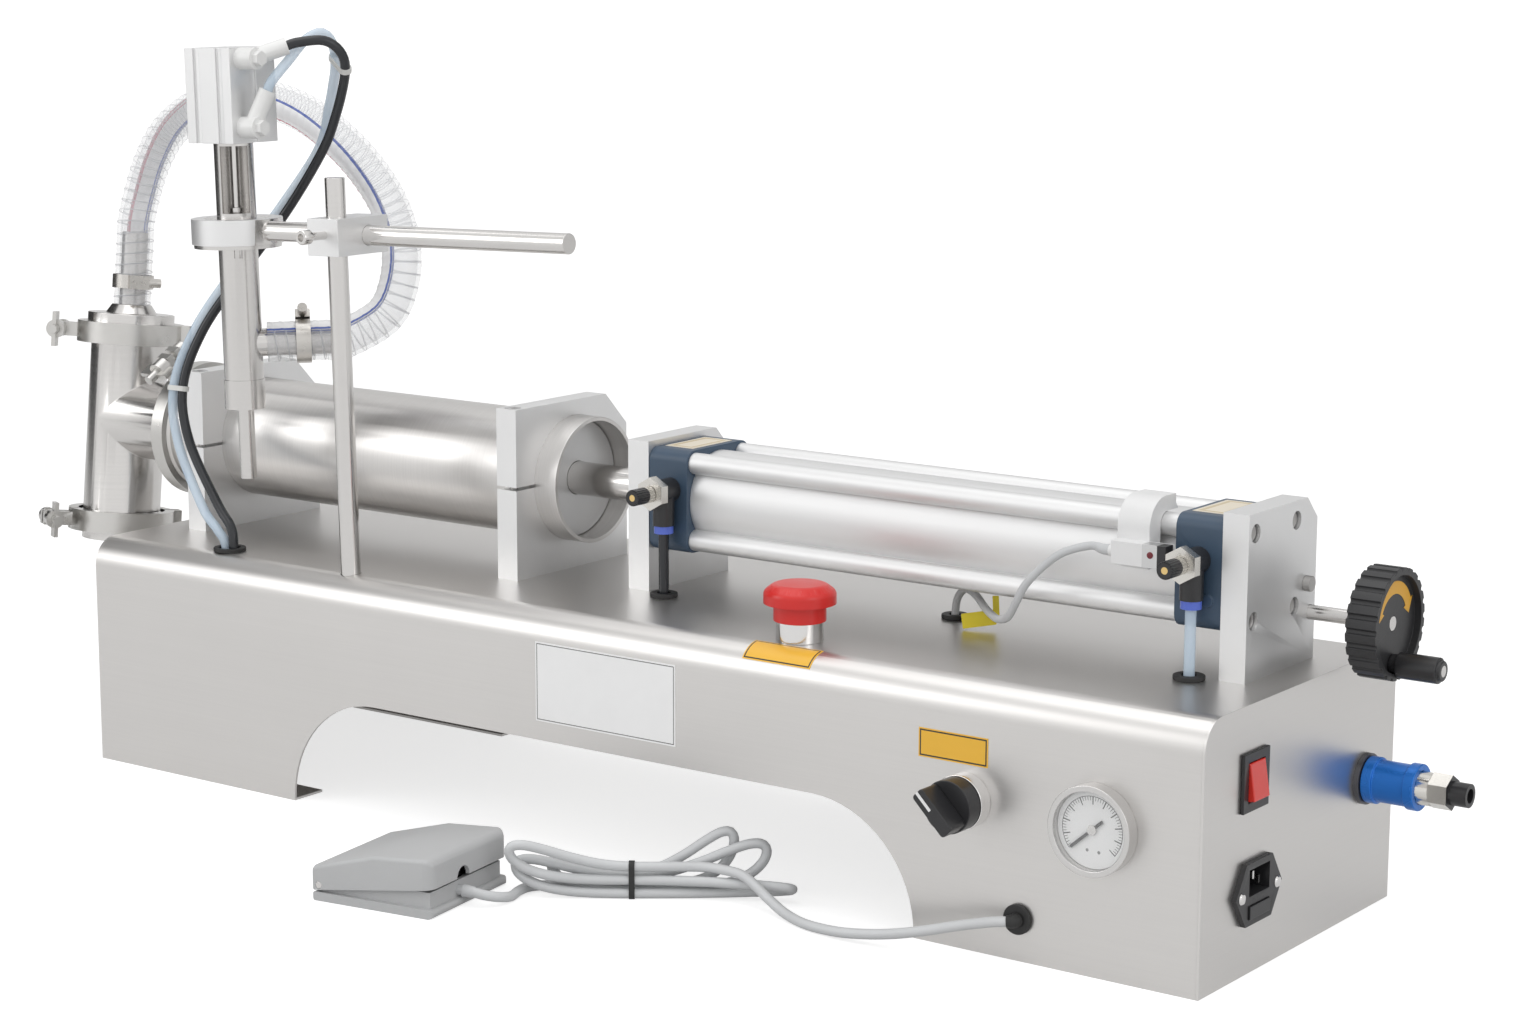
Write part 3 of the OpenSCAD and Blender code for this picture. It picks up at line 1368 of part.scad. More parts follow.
module gauge_needle() color("black") translate([gauge_x, -half_depth - gauge_t / 2, gauge_z]) {
    along_y(-body_gap - needle_t, -body_gap, needle_hub_r);
    along_y(-body_gap, gauge_back_t / 2, needle_hub_r / 2);
    rotate([0, -needle_turn, 0])
        box([-needle_tail, -body_gap - needle_t, -needle_w / 2],
            [needle_l, -body_gap, needle_w / 2]);
}
module switch_rocker() color("black") translate([half_len + switch_t / 2, switch_y, switch_z])
    rotate([0, -rocker_tilt, 0]) {
        w = switch_w - 4 * switch_rim - 2 * body_gap;
        h = switch_h - 4 * switch_rim - 4 * body_gap;
        box([-switch_t, -w / 2, -h / 2], [rocker_rise, w / 2, h / 2]);
    }

// Mains inlet: flange, core with its socket, and fuse drawer
module power_inlet() color("black") translate([half_len, inlet_y, inlet_mid_z]) difference() {
    union() {
        extrude_x(0, inlet_flange_t) polygon([
            [-inlet_w / 2, 0], [-inlet_core_w / 2, -inlet_h / 2], [inlet_core_w / 2, -inlet_h / 2],
            [inlet_w / 2, 0], [inlet_core_w / 2, inlet_h / 2], [-inlet_core_w / 2, inlet_h / 2]]);
        extrude_x(-inlet_depth, fit_gap) square([inlet_core_w, inlet_core_h], center = true);
    }
    translate([0, 0, socket_up])
        box([inlet_flange_t - socket_depth, -socket_w / 2, -socket_h / 2],
            [inlet_flange_t + over, socket_w / 2, socket_h / 2]);
    translate([0, 0, -drawer_down])
        box([inlet_flange_t - drawer_depth - body_gap, -socket_w / 2 - body_gap,
             -drawer_h / 2 - body_gap],
            [inlet_flange_t + over, socket_w / 2 + body_gap, drawer_h / 2 + body_gap]);
    for (y = [-1, 1]) translate([0, y * inlet_screw_off, 0])
        along_x(-over, inlet_flange_t + over, shank_r);
}
module fuse_drawer() color("dimgray") translate([half_len, inlet_y, inlet_mid_z - drawer_down])
    box([inlet_flange_t - drawer_depth, -socket_w / 2, -drawer_h / 2],
        [inlet_flange_t + switch_t / 2, socket_w / 2, drawer_h / 2]);

// Air shut-off: nut, core, hexagon, push-in ring and sliding sleeve
module at_air_inlet() translate([half_len, air_in_y, air_in_z]) children();
module air_inlet() color("silver") at_air_inlet() difference() {
    hex_x0 = air_nut_t + core_end;
    end = hex_x0 + air_hex_t + air_ring_t;
    union() {
        along_x(0, air_nut_t, air_nut_r);
        along_x(-sheet - port_depth, hex_x0, core_r);
        translate([-sheet - air_nut_t, 0, 0]) rotate([0, 90, 0])
            cylinder(h = air_nut_t, r = air_nut_r, $fn = 6);
        translate([hex_x0, 0, 0]) rotate([0, 90, 0])
            cylinder(h = air_hex_t, r = air_hex_r, $fn = 6);
        along_x(hex_x0 + air_hex_t, end, air_ring_r);
    }
    along_x(end - supply_depth, end + over, supply_r);
    along_x(-sheet - port_depth - over, end - supply_depth + over, supply_r / 2);
}
module inlet_sleeve() color("royalblue") at_air_inlet() difference() {
    x0 = air_nut_t + body_gap;
    union() {
        along_x(x0, x0 + sleeve_lip, sleeve_r);
        along_x(x0 + sleeve_lip, x0 + sleeve_len - sleeve_lip, sleeve_waist_r);
        along_x(x0 + sleeve_len - sleeve_lip, x0 + sleeve_len, sleeve_r);
    }
    along_x(x0 - over, x0 + sleeve_len + over, core_r + run_gap);
}

// Two solenoid valves and the control board, fixed inside the cabinet
module solenoid_valve() {
    cube([valve_w, valve_d, valve_h]);
    translate([valve_w / 4, valve_d / 2, 0]) along_z(-coil_l, 0, coil_r);
}
module control_gear() {
    color("dimgray") translate([nozzle_grommet[0] - valve_w / 2, -half_depth + sheet,
        cabinet_h - valve_drop - valve_h]) solenoid_valve();
    color("dimgray") translate(valve_b) solenoid_valve();
    color("gray") translate([valve_b_x, valve_b_y, cabinet_h - sheet - valve_drop / 2])
        cube([valve_w / 2, valve_d / 2, valve_drop / 2]);
    color("darkgreen") translate([board_x, board_y, cabinet_h - board_drop]) {
        cube([board_w, board_d, board_t]);
        for (x = [post_r, board_w - post_r], y = [post_r, board_d - post_r])
            translate([x, y, 0]) along_z(board_t, board_drop - sheet, post_r);
        translate([sensor_grommet[0] - board_x - chip_w / 2, sensor_grommet[1] - board_y
            - chip_h / 2, board_t]) cube([chip_w, chip_h, chip_h - board_t]);
        translate([board_w - 2 * chip_w, board_d / 2, -chip_h]) cube([chip_w, chip_w, chip_h]);
    }
}

// Pedal: base, hollow treadle on a cross pin, spring and switch
module pedal_base() color("dimgray") on_pedal() difference() {
    inset = pedal_wall + pedal_gap;
    union() {
        cube([pedal_len, pedal_w, pedal_base_t]);
        box([inset, inset, 0],
            [pedal_len - inset, pedal_w - inset, pedal_base_t + pedal_wall_h]);
    }
    box([inset + pedal_wall, inset + pedal_wall, pedal_base_t],
        [pedal_len - inset - pedal_wall, pedal_w - inset - pedal_wall,
         pedal_base_t + pedal_wall_h + over]);
    translate([pin_x, 0, pin_z]) along_y(-over, pedal_w + over, pin_r + fit_gap);
    translate([0, exit_y, exit_z])
        along_x(pedal_len - inset - pedal_wall - over, pedal_len + over, cord_d / 2 + fit_gap);
}
module treadle_side(inset, drop) {
    mid = pedal_len * treadle_mid_share;
    polygon([[inset, skirt_z0 - drop], [pedal_len - inset, skirt_z1 - drop],
        [pedal_len - inset, treadle_z2 - inset], [mid, treadle_z1 - inset],
        [inset, treadle_z0 - inset]]);
}
module treadle() color("gray") on_pedal() difference() {
    extrude_y(0, pedal_w) treadle_side(0, 0);
    extrude_y(pedal_wall, pedal_w - pedal_wall) treadle_side(pedal_wall, pedal_base_t);
    translate([pin_x, 0, pin_z]) along_y(-over, pedal_w + over, pin_r + run_gap);
    translate([0, exit_y, notch_z])
        along_x(pedal_len - pedal_wall - over, pedal_len + over, notch_r);
}
module pedal_works() on_pedal() {
    inset = pedal_wall + pedal_gap;
    color("silver") translate([pin_x, 0, pin_z]) along_y(0, pedal_w, pin_r);
    color("silver") translate([spring_x, pedal_w / 2, 0])
        ring_z(pedal_base_t, pedal_base_t + spring_h, spring_r, spring_r - spring_wire);
    color("black") translate([micro_x, pedal_w / 2, pedal_base_t])
        cube([micro_l, micro_w, micro_h]);
}

// Bundled cord: seven runs through the tie, with three turns at each end
hank_x = 58;
hank_y = -136;
hank_turn = 36;
hank_pitch = 7.6;
hank_start = 44;
hank_end = 38;
hank_floor = cord_r + fit_gap;
// Each turn: end, reach, swing, rise and the lanes it joins
hank_turns = [
    [1, 56, 0, 44, [1, 0], [1, 1]], [-1, 45, 3, 18, [1, 1], [0, 0]],
    [1, 74, 0, 36, [0, 0], [0, 1]], [-1, 64, 1, 21, [0, 1], [-1, 0]],
    [1, 88, -22, 4, [-1, 0], [-1, 1]], [-1, 67, -5, 26, [-1, 1], [-1, 2]]];
turn_steps = 12;
function lane(l) = [0, l[0] * hank_pitch, hank_floor + l[1] * hank_pitch];
function turn_place(t, a) =
    let (s = (1 - cos(a)) / 2, up = sin(a) * sin(a) * (t[5][1] > t[4][1] ? s : 1 - s))
    (1 - s) * lane(t[4]) + s * lane(t[5]) + [t[0] * t[1] * sin(a), t[2] * up, t[3] * up];
hank_local = concat([lane([1, 0]) - [hank_start, 0, 0], lane([1, 0]) - [hank_start / 2, 0, 0]],
    [for (t = hank_turns, k = [0:turn_steps - 1]) turn_place(t, 180 * k / turn_steps)],
    [for (x = [0, hank_end / 2, hank_end]) lane([-1, 2]) + [x, 0, 0]]);
function hank_point(p) = [hank_x + p[0] * cos(hank_turn) - p[1] * sin(hank_turn),
    hank_y + p[0] * sin(hank_turn) + p[1] * cos(hank_turn), p[2]];
hank_line = [for (p = hank_local) hank_point(p)];
module cord_hank() {
    fine = even(hank_line, round(run_length(hank_line) / cord_r));
    apart = 7;
    echo(least_gap = min([for (i = [0:len(fine) - 1 - apart], j = [i + apart:len(fine) - 1])
        norm(fine[i] - fine[j])]) - cord_d);
    color("gray") swept(hank_line, cord_r, 6, [0, 0, 1]);
}
module cord_lead() color("gray") {
    start = last(hank_line);
    way = unit(start - hank_line[len(hank_line) - 2]);
    grommet_at = [cord_grommet_x, -half_depth, cord_grommet_z];
    swept(even(smooth(concat([start, start + way * cord_d], lead_route,
        [for (y = [-2, -1, 1]) grommet_at + [0, y * cord_d, 0]]), 4), 40), cord_r, 8,
        [0, 0, 1]);
}
module cord_tail() color("gray") {
    start = pedal_point(pedal_len - pedal_wall * 2, exit_y, exit_z);
    out = pedal_point(pedal_len + cord_d, exit_y, exit_z);
    way = unit(hank_line[1] - hank_line[0]);
    swept(even(smooth(concat([start, out], tail_route, [hank_line[0] - way * cord_d,
        hank_line[0]]), 4), 16), cord_r, 8, [0, 0, 1]);
}

cabinet_shell();
end_panels();
mounting_blocks();
frame_screws();
product_cylinder();
valve_tee();
tee_ports();
clamp_rings();
side_wing_nut();
top_wing_nut();
bottom_wing_nut();
valve_seats();
inlet_ball();
outlet_ball();
air_barrel();
air_caps();
flow_controls();
front_flow_knob();
rear_flow_knob();
stand_rod();
grommets();
filling_hose();
top_hose_clamp();
black_air_tube();
clear_air_tube();
cylinder_air_tubes();
sensor_cable();
control_bases();
estop_button();
selector_knob();
gauge_case();
gauge_needle();
switch_rocker();
power_inlet();
fuse_drawer();
air_inlet();
inlet_sleeve();
control_gear();
pedal_base();
treadle();
pedal_works();
cord_hank();
cord_lead();
cord_tail();
product_piston();
piston_rod();
sensor_carriage();
reed_sensor();
lead_screw();
handwheel();
crank_knob();
cross_block();
height_screw();
nozzle_arm();
nozzle_body();
nozzle_spout();
nozzle_actuator();
valve_rod();
actuator_elbows();
nozzle_hose_clamp();
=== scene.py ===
# Piston filler with a foot pedal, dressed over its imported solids, on a pale studio floor
import json
from math import cos, pi, radians, sin
import bmesh
import bpy
import numpy as np
from mathutils import Matrix, Vector

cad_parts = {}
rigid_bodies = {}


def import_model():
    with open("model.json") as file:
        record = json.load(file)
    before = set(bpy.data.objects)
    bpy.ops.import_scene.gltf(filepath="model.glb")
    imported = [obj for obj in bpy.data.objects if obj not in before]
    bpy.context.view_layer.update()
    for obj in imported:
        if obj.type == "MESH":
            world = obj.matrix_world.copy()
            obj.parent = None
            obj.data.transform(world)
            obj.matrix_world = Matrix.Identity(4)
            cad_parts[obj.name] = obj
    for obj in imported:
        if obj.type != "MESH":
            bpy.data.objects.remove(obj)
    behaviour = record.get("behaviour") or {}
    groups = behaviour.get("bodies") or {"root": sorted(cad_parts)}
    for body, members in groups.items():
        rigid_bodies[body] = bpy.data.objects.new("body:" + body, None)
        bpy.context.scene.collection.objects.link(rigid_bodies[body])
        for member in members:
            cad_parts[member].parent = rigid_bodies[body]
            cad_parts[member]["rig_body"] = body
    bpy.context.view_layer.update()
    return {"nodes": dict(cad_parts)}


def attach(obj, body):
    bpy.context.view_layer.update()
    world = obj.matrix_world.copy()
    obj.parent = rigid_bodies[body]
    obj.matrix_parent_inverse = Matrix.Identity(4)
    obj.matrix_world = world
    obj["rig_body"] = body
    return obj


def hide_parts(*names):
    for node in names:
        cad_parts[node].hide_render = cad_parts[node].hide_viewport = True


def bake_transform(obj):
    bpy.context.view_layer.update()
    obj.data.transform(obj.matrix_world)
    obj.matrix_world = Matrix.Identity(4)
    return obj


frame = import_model()
MM = 0.001


# The studio: a camera at the photograph's place, a white sweep under and behind the machine,
# and three soft lamps. Metal and clear pieces see the same white that the camera sees.
class Wire:
    """An output socket: arithmetic on it adds Math nodes, with a number on either side."""

    def __init__(self, tree, socket):
        self.tree, self.socket = tree, socket

    def math(self, operation, *values):
        node = self.tree.nodes.new("ShaderNodeMath")
        node.operation = operation
        for socket, value in zip(node.inputs, values):
            plug(self.tree, socket, value)
        return Wire(self.tree, node.outputs[0])

    def __add__(self, other): return self.math("ADD", self, other)
    def __radd__(self, other): return self.math("ADD", other, self)
    def __sub__(self, other): return self.math("SUBTRACT", self, other)
    def __rsub__(self, other): return self.math("SUBTRACT", other, self)
    def __mul__(self, other): return self.math("MULTIPLY", self, other)
    def __rmul__(self, other): return self.math("MULTIPLY", other, self)
    def __gt__(self, other): return self.math("GREATER_THAN", self, other)
    def __lt__(self, other): return self.math("LESS_THAN", self, other)
    def __truediv__(self, other): return self.math("DIVIDE", self, other)
    def __rtruediv__(self, other): return self.math("DIVIDE", other, self)
    def __pow__(self, other): return self.math("POWER", self, other)
    def __mod__(self, other): return self.math("FLOORED_MODULO", self, other)
    def __abs__(self): return self.math("ABSOLUTE", self)
    def most(self, other): return self.math("MAXIMUM", self, other)
    def least(self, other): return self.math("MINIMUM", self, other)
    def fraction(self): return self.math("FRACT", self)
    def sine(self): return self.math("SINE", self)
    def angle(self, across): return self.math("ARCTAN2", self, across)


def plug(tree, socket, value):
    """Links a wire, or sets a plain value; a colour of three numbers gets its alpha."""
    if isinstance(value, Wire):
        tree.links.new(value.socket, socket)
    elif hasattr(value, "__len__") and len(value) == 3 and socket.type == "RGBA":
        socket.default_value = (*value, 1)
    else:
        socket.default_value = value


class Finish:
    """A material under one name; node() adds a node from its type, settings and socket values."""

    def __init__(self, name, tree=None):
        if tree is None:
            self.material = bpy.data.materials.new(name)
            self.material.use_nodes = True
            tree = self.material.node_tree
            self.shader = tree.nodes["Principled BSDF"]
        self.tree = tree

    def node(self, kind, values=None, out=0, **settings):
        made = self.tree.nodes.new(kind)
        for key, value in settings.items():
            setattr(made, key, value)
        for key, value in (values or {}).items():
            plug(self.tree, made.inputs[key], value)
        return Wire(self.tree, made.outputs[out])

    def place(self, scale):
        """Object coordinates in metres, stretched by scale."""
        at = self.node("ShaderNodeTexCoord", out="Object")
        return self.node("ShaderNodeMapping", {"Vector": at, "Scale": scale})

    def noise(self, scale, detail=3, rough=0.55, stretch=(1, 1, 1)):
        """Noise from 0 to 1, with scale spots to a metre before the stretch."""
        return self.node("ShaderNodeTexNoise", {
            "Vector": self.place(stretch), "Scale": scale, "Detail": detail,
            "Roughness": rough}, out="Fac")

    def blend(self, share, first, second):
        """A colour between two, by a share from 0 to 1."""
        made = self.tree.nodes.new("ShaderNodeMix")
        made.data_type = "RGBA"
        plug(self.tree, made.inputs[0], share)
        plug(self.tree, made.inputs[6], first)
        plug(self.tree, made.inputs[7], second)
        return Wire(self.tree, made.outputs[2])

    def split(self, vector):
        """The three parts of a vector."""
        made = self.tree.nodes.new("ShaderNodeSeparateXYZ")
        plug(self.tree, made.inputs[0], vector)
        return [Wire(self.tree, out) for out in made.outputs]

    def place_mm(self):
        """The three object coordinates in millimetres."""
        return [q * 1000 for q in self.split(self.node("ShaderNodeTexCoord", out="Object"))]

    def bump(self, height, depth):
        """A normal that follows a height from 0 to 1 over a depth in metres."""
        return self.node("ShaderNodeBump", {"Height": height, "Distance": depth, "Strength": 1.0})

    def rays(self):
        """Whether light is gathered for the camera, for a reflection or through a clear piece."""
        path = self.tree.nodes.new("ShaderNodeLightPath")
        return [Wire(self.tree, path.outputs[f"Is {kind} Ray"])
                for kind in ("Camera", "Glossy", "Transmission")]

    def surface(self, **sockets):
        """Sets the shader's sockets, with a _ for each space in their names."""
        for key, value in sockets.items():
            plug(self.tree, self.shader.inputs[key.replace("_", " ")], value)
        return self.material

    def layered(self, base, *zones, grain=900, depth=0.00003, mottle=0.06):
        """A base colour, metal share and roughness, with another set in each zone's mask."""
        soft = self.noise(40)
        rgb, metal, rough = base
        colour = self.blend(soft, shade(rgb, 1 - mottle), shade(rgb, 1 + mottle))
        for mask, (zone_rgb, zone_metal, zone_rough) in zones:
            colour = self.blend(mask, colour, zone_rgb)
            metal = metal + mask * (zone_metal - metal)
            rough = rough + mask * (zone_rough - rough)
        return self.surface(Base_Color=colour, Metallic=metal,
                            Roughness=rough + 0.08 * (soft - 0.5),
                            Normal=self.bump(self.noise(grain, 2), depth))


def shade(rgb, factor):
    """A colour made lighter or darker."""
    return tuple(min(1.0, c * factor) for c in rgb)


def mesh_piece(name, vertices, faces, material, body="root", crease=35):
    """A new object in the frame, smooth except at edges sharper than the crease in degrees."""
    mesh = bpy.data.meshes.new(name)
    mesh.from_pydata(np.asarray(vertices, float).tolist(), [], [tuple(f) for f in faces])
    mesh.update()
    mesh.shade_smooth()
    mesh.set_sharp_from_angle(angle=radians(crease))
    piece = bpy.data.objects.new(name, mesh)
    bpy.context.scene.collection.objects.link(piece)
    mesh.materials.append(material)
    if body:
        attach(piece, body)
    return piece


def grid_faces(rows, columns, closed=True):
    """Quads over a grid of points, its columns running round when closed."""
    i, j = np.meshgrid(np.arange(rows - 1), np.arange(columns if closed else columns - 1),
                       indexing="ij")
    nxt = (j + 1) % columns
    return np.stack([i * columns + j, i * columns + nxt, (i + 1) * columns + nxt,
                     (i + 1) * columns + j], axis=-1).reshape(-1, 4)


scene = bpy.context.scene
azimuth, elevation, roll = radians(35.991), radians(10.587), radians(0.162)
backward = Vector((sin(azimuth) * cos(elevation), -cos(azimuth) * cos(elevation), sin(elevation)))
right = (-backward).cross(Vector((0, 0, 1))).normalized()
upward = backward.cross(right).normalized()
right, upward = (right * cos(roll) + upward * sin(roll)), (upward * cos(roll) - right * sin(roll))
focal_pixels, photo_pixels, film_mm = 3226.445, 1521, 36
camera_place = Vector((1.119097, -1.477887, 0.531937))
lens = bpy.data.cameras.new("camera")
lens.lens = focal_pixels / photo_pixels * film_mm
lens.sensor_width = film_mm
lens.clip_end = 50
camera = bpy.data.objects.new("camera", lens)
camera.matrix_world = Matrix.Translation(camera_place) @ Matrix(
    (right, upward, backward)).transposed().to_4x4()
scene.collection.objects.link(camera)
scene.camera = camera
scene.view_settings.view_transform = "Standard"

floor_front, floor_back, sweep_r, wall_top, half_width = -4, 1.4, 1.2, 4.5, 6
sweep = ([(floor_front, 0), (floor_back, 0)]
         + [(floor_back + sweep_r * sin(a), sweep_r - sweep_r * cos(a))
            for a in np.linspace(0.1, pi / 2, 14)]
         + [(floor_back + sweep_r, wall_top)])
floor_points = [(x, y, z) for y, z in sweep for x in (-half_width, half_width)]
floor_finish = Finish("studio_white")
direct, glossy, through = floor_finish.rays()
paper = floor_finish.noise(3)
glow = floor_finish.blend(glossy, (0, 0, 0), (0.34, 0.34, 0.34))
glow = floor_finish.blend(direct.most(through), glow, (0.71, 0.71, 0.71))
floor_finish.surface(Base_Color=floor_finish.blend(paper, (0.49, 0.49, 0.49), (0.51, 0.51, 0.51)),
                     Roughness=0.9, Emission_Strength=1.0, Emission_Color=glow)
floor = mesh_piece("studio_floor", floor_points, grid_faces(len(sweep), 2, False),
                   floor_finish.material, body=None)
board = Finish("dark_board")
board.surface(Base_Color=board.blend(board.noise(5), (0.035, 0.035, 0.035), (0.045, 0.045, 0.045)),
              Roughness=0.9)
left_board = mesh_piece("left_board", [(-2.4, y, z) for z in (0.02, 2.6) for y in (-1.3, 1.1)],
                        [(0, 1, 3, 2)], board.material, body=None)
back_board = mesh_piece("back_board", [(x, 2.1, z) for z in (0.02, 2.8) for x in (0.4, 1.7)],
                        [(0, 1, 3, 2)], board.material, body=None)
left_board.visible_camera = back_board.visible_camera = False
world = bpy.data.worlds.new("studio")
scene.world = world
world.use_nodes = True
air = Finish("air", world.node_tree)
direct, glossy, through = air.rays()
background = air.tree.nodes["Background"]
background.inputs["Color"].default_value = (1, 1, 1, 1)
plug(air.tree, background.inputs["Strength"], 0.92 + 0.08 * (direct + glossy + through).least(1.0))


def lamp(name, place, aim, size, watts):
    """A rectangular lamp at a place, turned towards its aim."""
    data = bpy.data.lights.new(name, "AREA")
    data.shape = "RECTANGLE"
    data.size, data.size_y = size
    data.energy = watts
    made = bpy.data.objects.new(name, data)
    made.location = place
    made.rotation_euler = (Vector(aim) - Vector(place)).to_track_quat("-Z", "Y").to_euler()
    scene.collection.objects.link(made)


lamp("overhead", (-0.3, -0.4, 2.4), (0, 0, 0.1), (2.6, 1.4), 11)
lamp("front_left", (-2.2, -2.4, 1.5), (-0.1, 0, 0.2), (1.4, 1.6), 15)
lamp("right_side", (2.6, -0.6, 1.3), (0.2, 0, 0.15), (1.0, 1.4), 6)


# The pedal's cord: soft grey vinyl from the pedal, bundled in seven runs, then on to the grommet.
# It is one round tube swept on a smooth line through the same points as its solid. A black band
# ties the runs together, and short tapered sleeves hold the cord where it leaves a housing.
def plain(name, rgb, rough=0.45, spot=900, mottle=0.12, depth=0.00004, metal=0.0, **more):
    """A moulded or painted finish: colour and gloss vary softly, over a fine raised texture."""
    f = Finish(name)
    soft, fine = f.noise(40), f.noise(spot, 2)
    return f.surface(
        Base_Color=f.blend(soft, shade(rgb, 1 - mottle), shade(rgb, 1 + mottle)),
        Roughness=rough - 0.08 + 0.16 * soft, Metallic=metal,
        Normal=f.bump(fine, depth), **more)


def smooth_line(points, steps):
    """Catmull-Rom: each stretch is a cubic whose slopes come from the neighbouring points."""
    p = np.asarray(points, float)
    a, b = np.vstack([p[:1], p[:-2]]), p[:-1]
    c, d = p[1:], np.vstack([p[2:], p[-1:]])
    t = (np.arange(steps) / steps)[None, :, None]
    a, b, c, d = (q[:, None, :] for q in (a, b, c, d))
    line = (2 * b + (c - a) * t + (2 * a - 5 * b + 4 * c - d) * t ** 2
            + (3 * b - a - 3 * c + d) * t ** 3) / 2
    return np.vstack([line.reshape(-1, 3), p[-1:]])


def distances(line):
    """Distance run along a line at each of its points."""
    return np.concatenate([[0], np.cumsum(np.linalg.norm(np.diff(line, axis=0), axis=1))])


def even_line(line, count):
    """The same line at count equal distances."""
    run = distances(line)
    want = np.linspace(0, run[-1], count + 1)
    return np.stack([np.interp(want, run, line[:, k]) for k in range(3)], axis=1)


def carried_frame(line, start):
    """Two directions across the line that are carried along it without twisting."""
    tangent = np.gradient(line, axis=0)
    tangent /= np.linalg.norm(tangent, axis=1)[:, None]
    side = np.zeros_like(line)
    v = np.asarray(start, float)
    for i, t in enumerate(tangent):
        v = v - v.dot(t) * t
        v /= np.linalg.norm(v)
        side[i] = v
    return side, np.cross(tangent, side)


def tube(name, line, radius, sides, material, body="root", inner=None, start=(0, 0, 1)):
    """A circle of radius carried along the line, closed at its ends or hollow with an inner
    radius. Its UV holds the turn round it and the run along it."""
    side, other = carried_frame(line, start)
    turn = 2 * pi * np.arange(sides) / sides
    outer = np.broadcast_to(radius, (len(line), sides)) if np.ndim(radius) < 2 else radius
    ring = (line[:, None, :] + outer[:, :, None] * (np.cos(turn)[None, :, None] * side[:, None, :]
            + np.sin(turn)[None, :, None] * other[:, None, :]))
    points = ring.reshape(-1, 3)
    faces = grid_faces(len(line), sides)[:, ::-1].tolist()
    if inner is None:
        faces += [list(range(sides)), list(range(len(points) - 1, len(points) - sides - 1, -1))]
    else:
        bore = (line[:, None, :] + inner * (np.cos(turn)[None, :, None] * side[:, None, :]
                + np.sin(turn)[None, :, None] * other[:, None, :])).reshape(-1, 3)
        n = len(points)
        points = np.vstack([points, bore])
        faces += (grid_faces(len(line), sides) + n).tolist()
        last = n - sides
        for k in range(sides):
            m = (k + 1) % sides
            faces += [[k, m, n + m, n + k], [last + m, last + k, n + last + k, n + last + m]]
    piece = mesh_piece(name, points, faces, material, body=None, crease=60)
    mesh = piece.data
    index = np.empty(len(mesh.loops), int)
    mesh.loops.foreach_get("vertex_index", index)
    count = len(line) * sides
    column, row = (index % count) % sides, (index % count) // sides
    start_loop = np.repeat(np.arange(len(mesh.polygons)), [len(f) for f in faces])
    high = np.zeros(len(mesh.polygons), int)
    np.maximum.at(high, start_loop, column)
    wrapped = (column == 0) & (high[start_loop] == sides - 1)
    uv = np.stack([np.where(wrapped, sides, column) / sides, distances(line)[row] * 10], axis=1)
    mesh.uv_layers.new(name="run").data.foreach_set("uv", uv.ravel())
    if body:
        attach(piece, body)
    return piece


cord_r = 2.8
pedal_x, pedal_y, pedal_turn = -77, -248.5, radians(8)


def pedal_point(x, y, z):
    """A point of the turned pedal, whose front left corner is its origin, in millimetres."""
    return [pedal_x + x * cos(pedal_turn) - y * sin(pedal_turn),
            pedal_y + x * sin(pedal_turn) + y * cos(pedal_turn), z]


bundle_x, bundle_y, bundle_turn = 58, -136, radians(36)
bundle_floor, lane_step = cord_r + 0.05, 7.6


def lane(across, up):
    """The middle of one of the seven runs under the tie."""
    return np.array([0, across * lane_step, bundle_floor + up * lane_step])


# Each turn of the bundle: its way, reach, swing across, rise, and the lanes it joins
turns = [(1, 56, 0, 44, (1, 0), (1, 1)), (-1, 45, 3, 18, (1, 1), (0, 0)),
         (1, 74, 0, 36, (0, 0), (0, 1)), (-1, 64, 1, 21, (0, 1), (-1, 0)),
         (1, 88, -22, 4, (-1, 0), (-1, 1)), (-1, 67, -5, 26, (-1, 1), (-1, 2))]
bundle = [lane(1, 0) - [44, 0, 0], lane(1, 0) - [22, 0, 0]]
for way, reach, swing, rise, low, high in turns:
    a = pi * np.arange(12)[:, None] / 12
    s = (1 - np.cos(a)) / 2
    up = np.sin(a) ** 2 * (s if high[1] > low[1] else 1 - s)
    bundle += list((1 - s) * lane(*low) + s * lane(*high)
                   + np.hstack([way * reach * np.sin(a), swing * up, rise * up]))
bundle += [lane(-1, 2) + [x, 0, 0] for x in (0, 19, 38)]
bundle = np.array(bundle)
bundle = np.stack([bundle_x + bundle[:, 0] * cos(bundle_turn) - bundle[:, 1] * sin(bundle_turn),
                   bundle_y + bundle[:, 0] * sin(bundle_turn) + bundle[:, 1] * cos(bundle_turn),
                   bundle[:, 2]], axis=1)
cord_start, cord_out = pedal_point(74, 31.3, 8.4), pedal_point(84.6, 31.3, 8.4)
tail_line = [cord_start, cord_out, [8, -203, 7], [13, -196, 5], [13, -186, 3], [10, -176, 3],
             [10, -166, 3]]
lead_line = [[106, -117, 18], [118, -116, 17], [128, -117, 13], [138, -119, 8], [154, -125, 4],
             [172, -131, 3], [194, -134, 4], [212, -133, 6], [228, -132, 9], [244, -130, 13],
             [258, -127, 17], [270, -123, 20], [281, -118, 22], [289.5, -114.1, 22.8],
             [289.5, -102.9, 22.8]]
cord_line = smooth_line(np.vstack([tail_line, bundle, lead_line]), 6)
cord_count = 620
cord_line = even_line(cord_line, cord_count) * MM
cord_grey = plain("grey_vinyl", (0.62, 0.63, 0.64), 0.42, 500, 0.06, 0.00003)
black_rubber = plain("black_rubber", (0.018, 0.018, 0.018), 0.55, 500, 0.2, 0.00003)
pedal_cord = tube("pedal_cord", cord_line, cord_r * MM, 16, cord_grey)


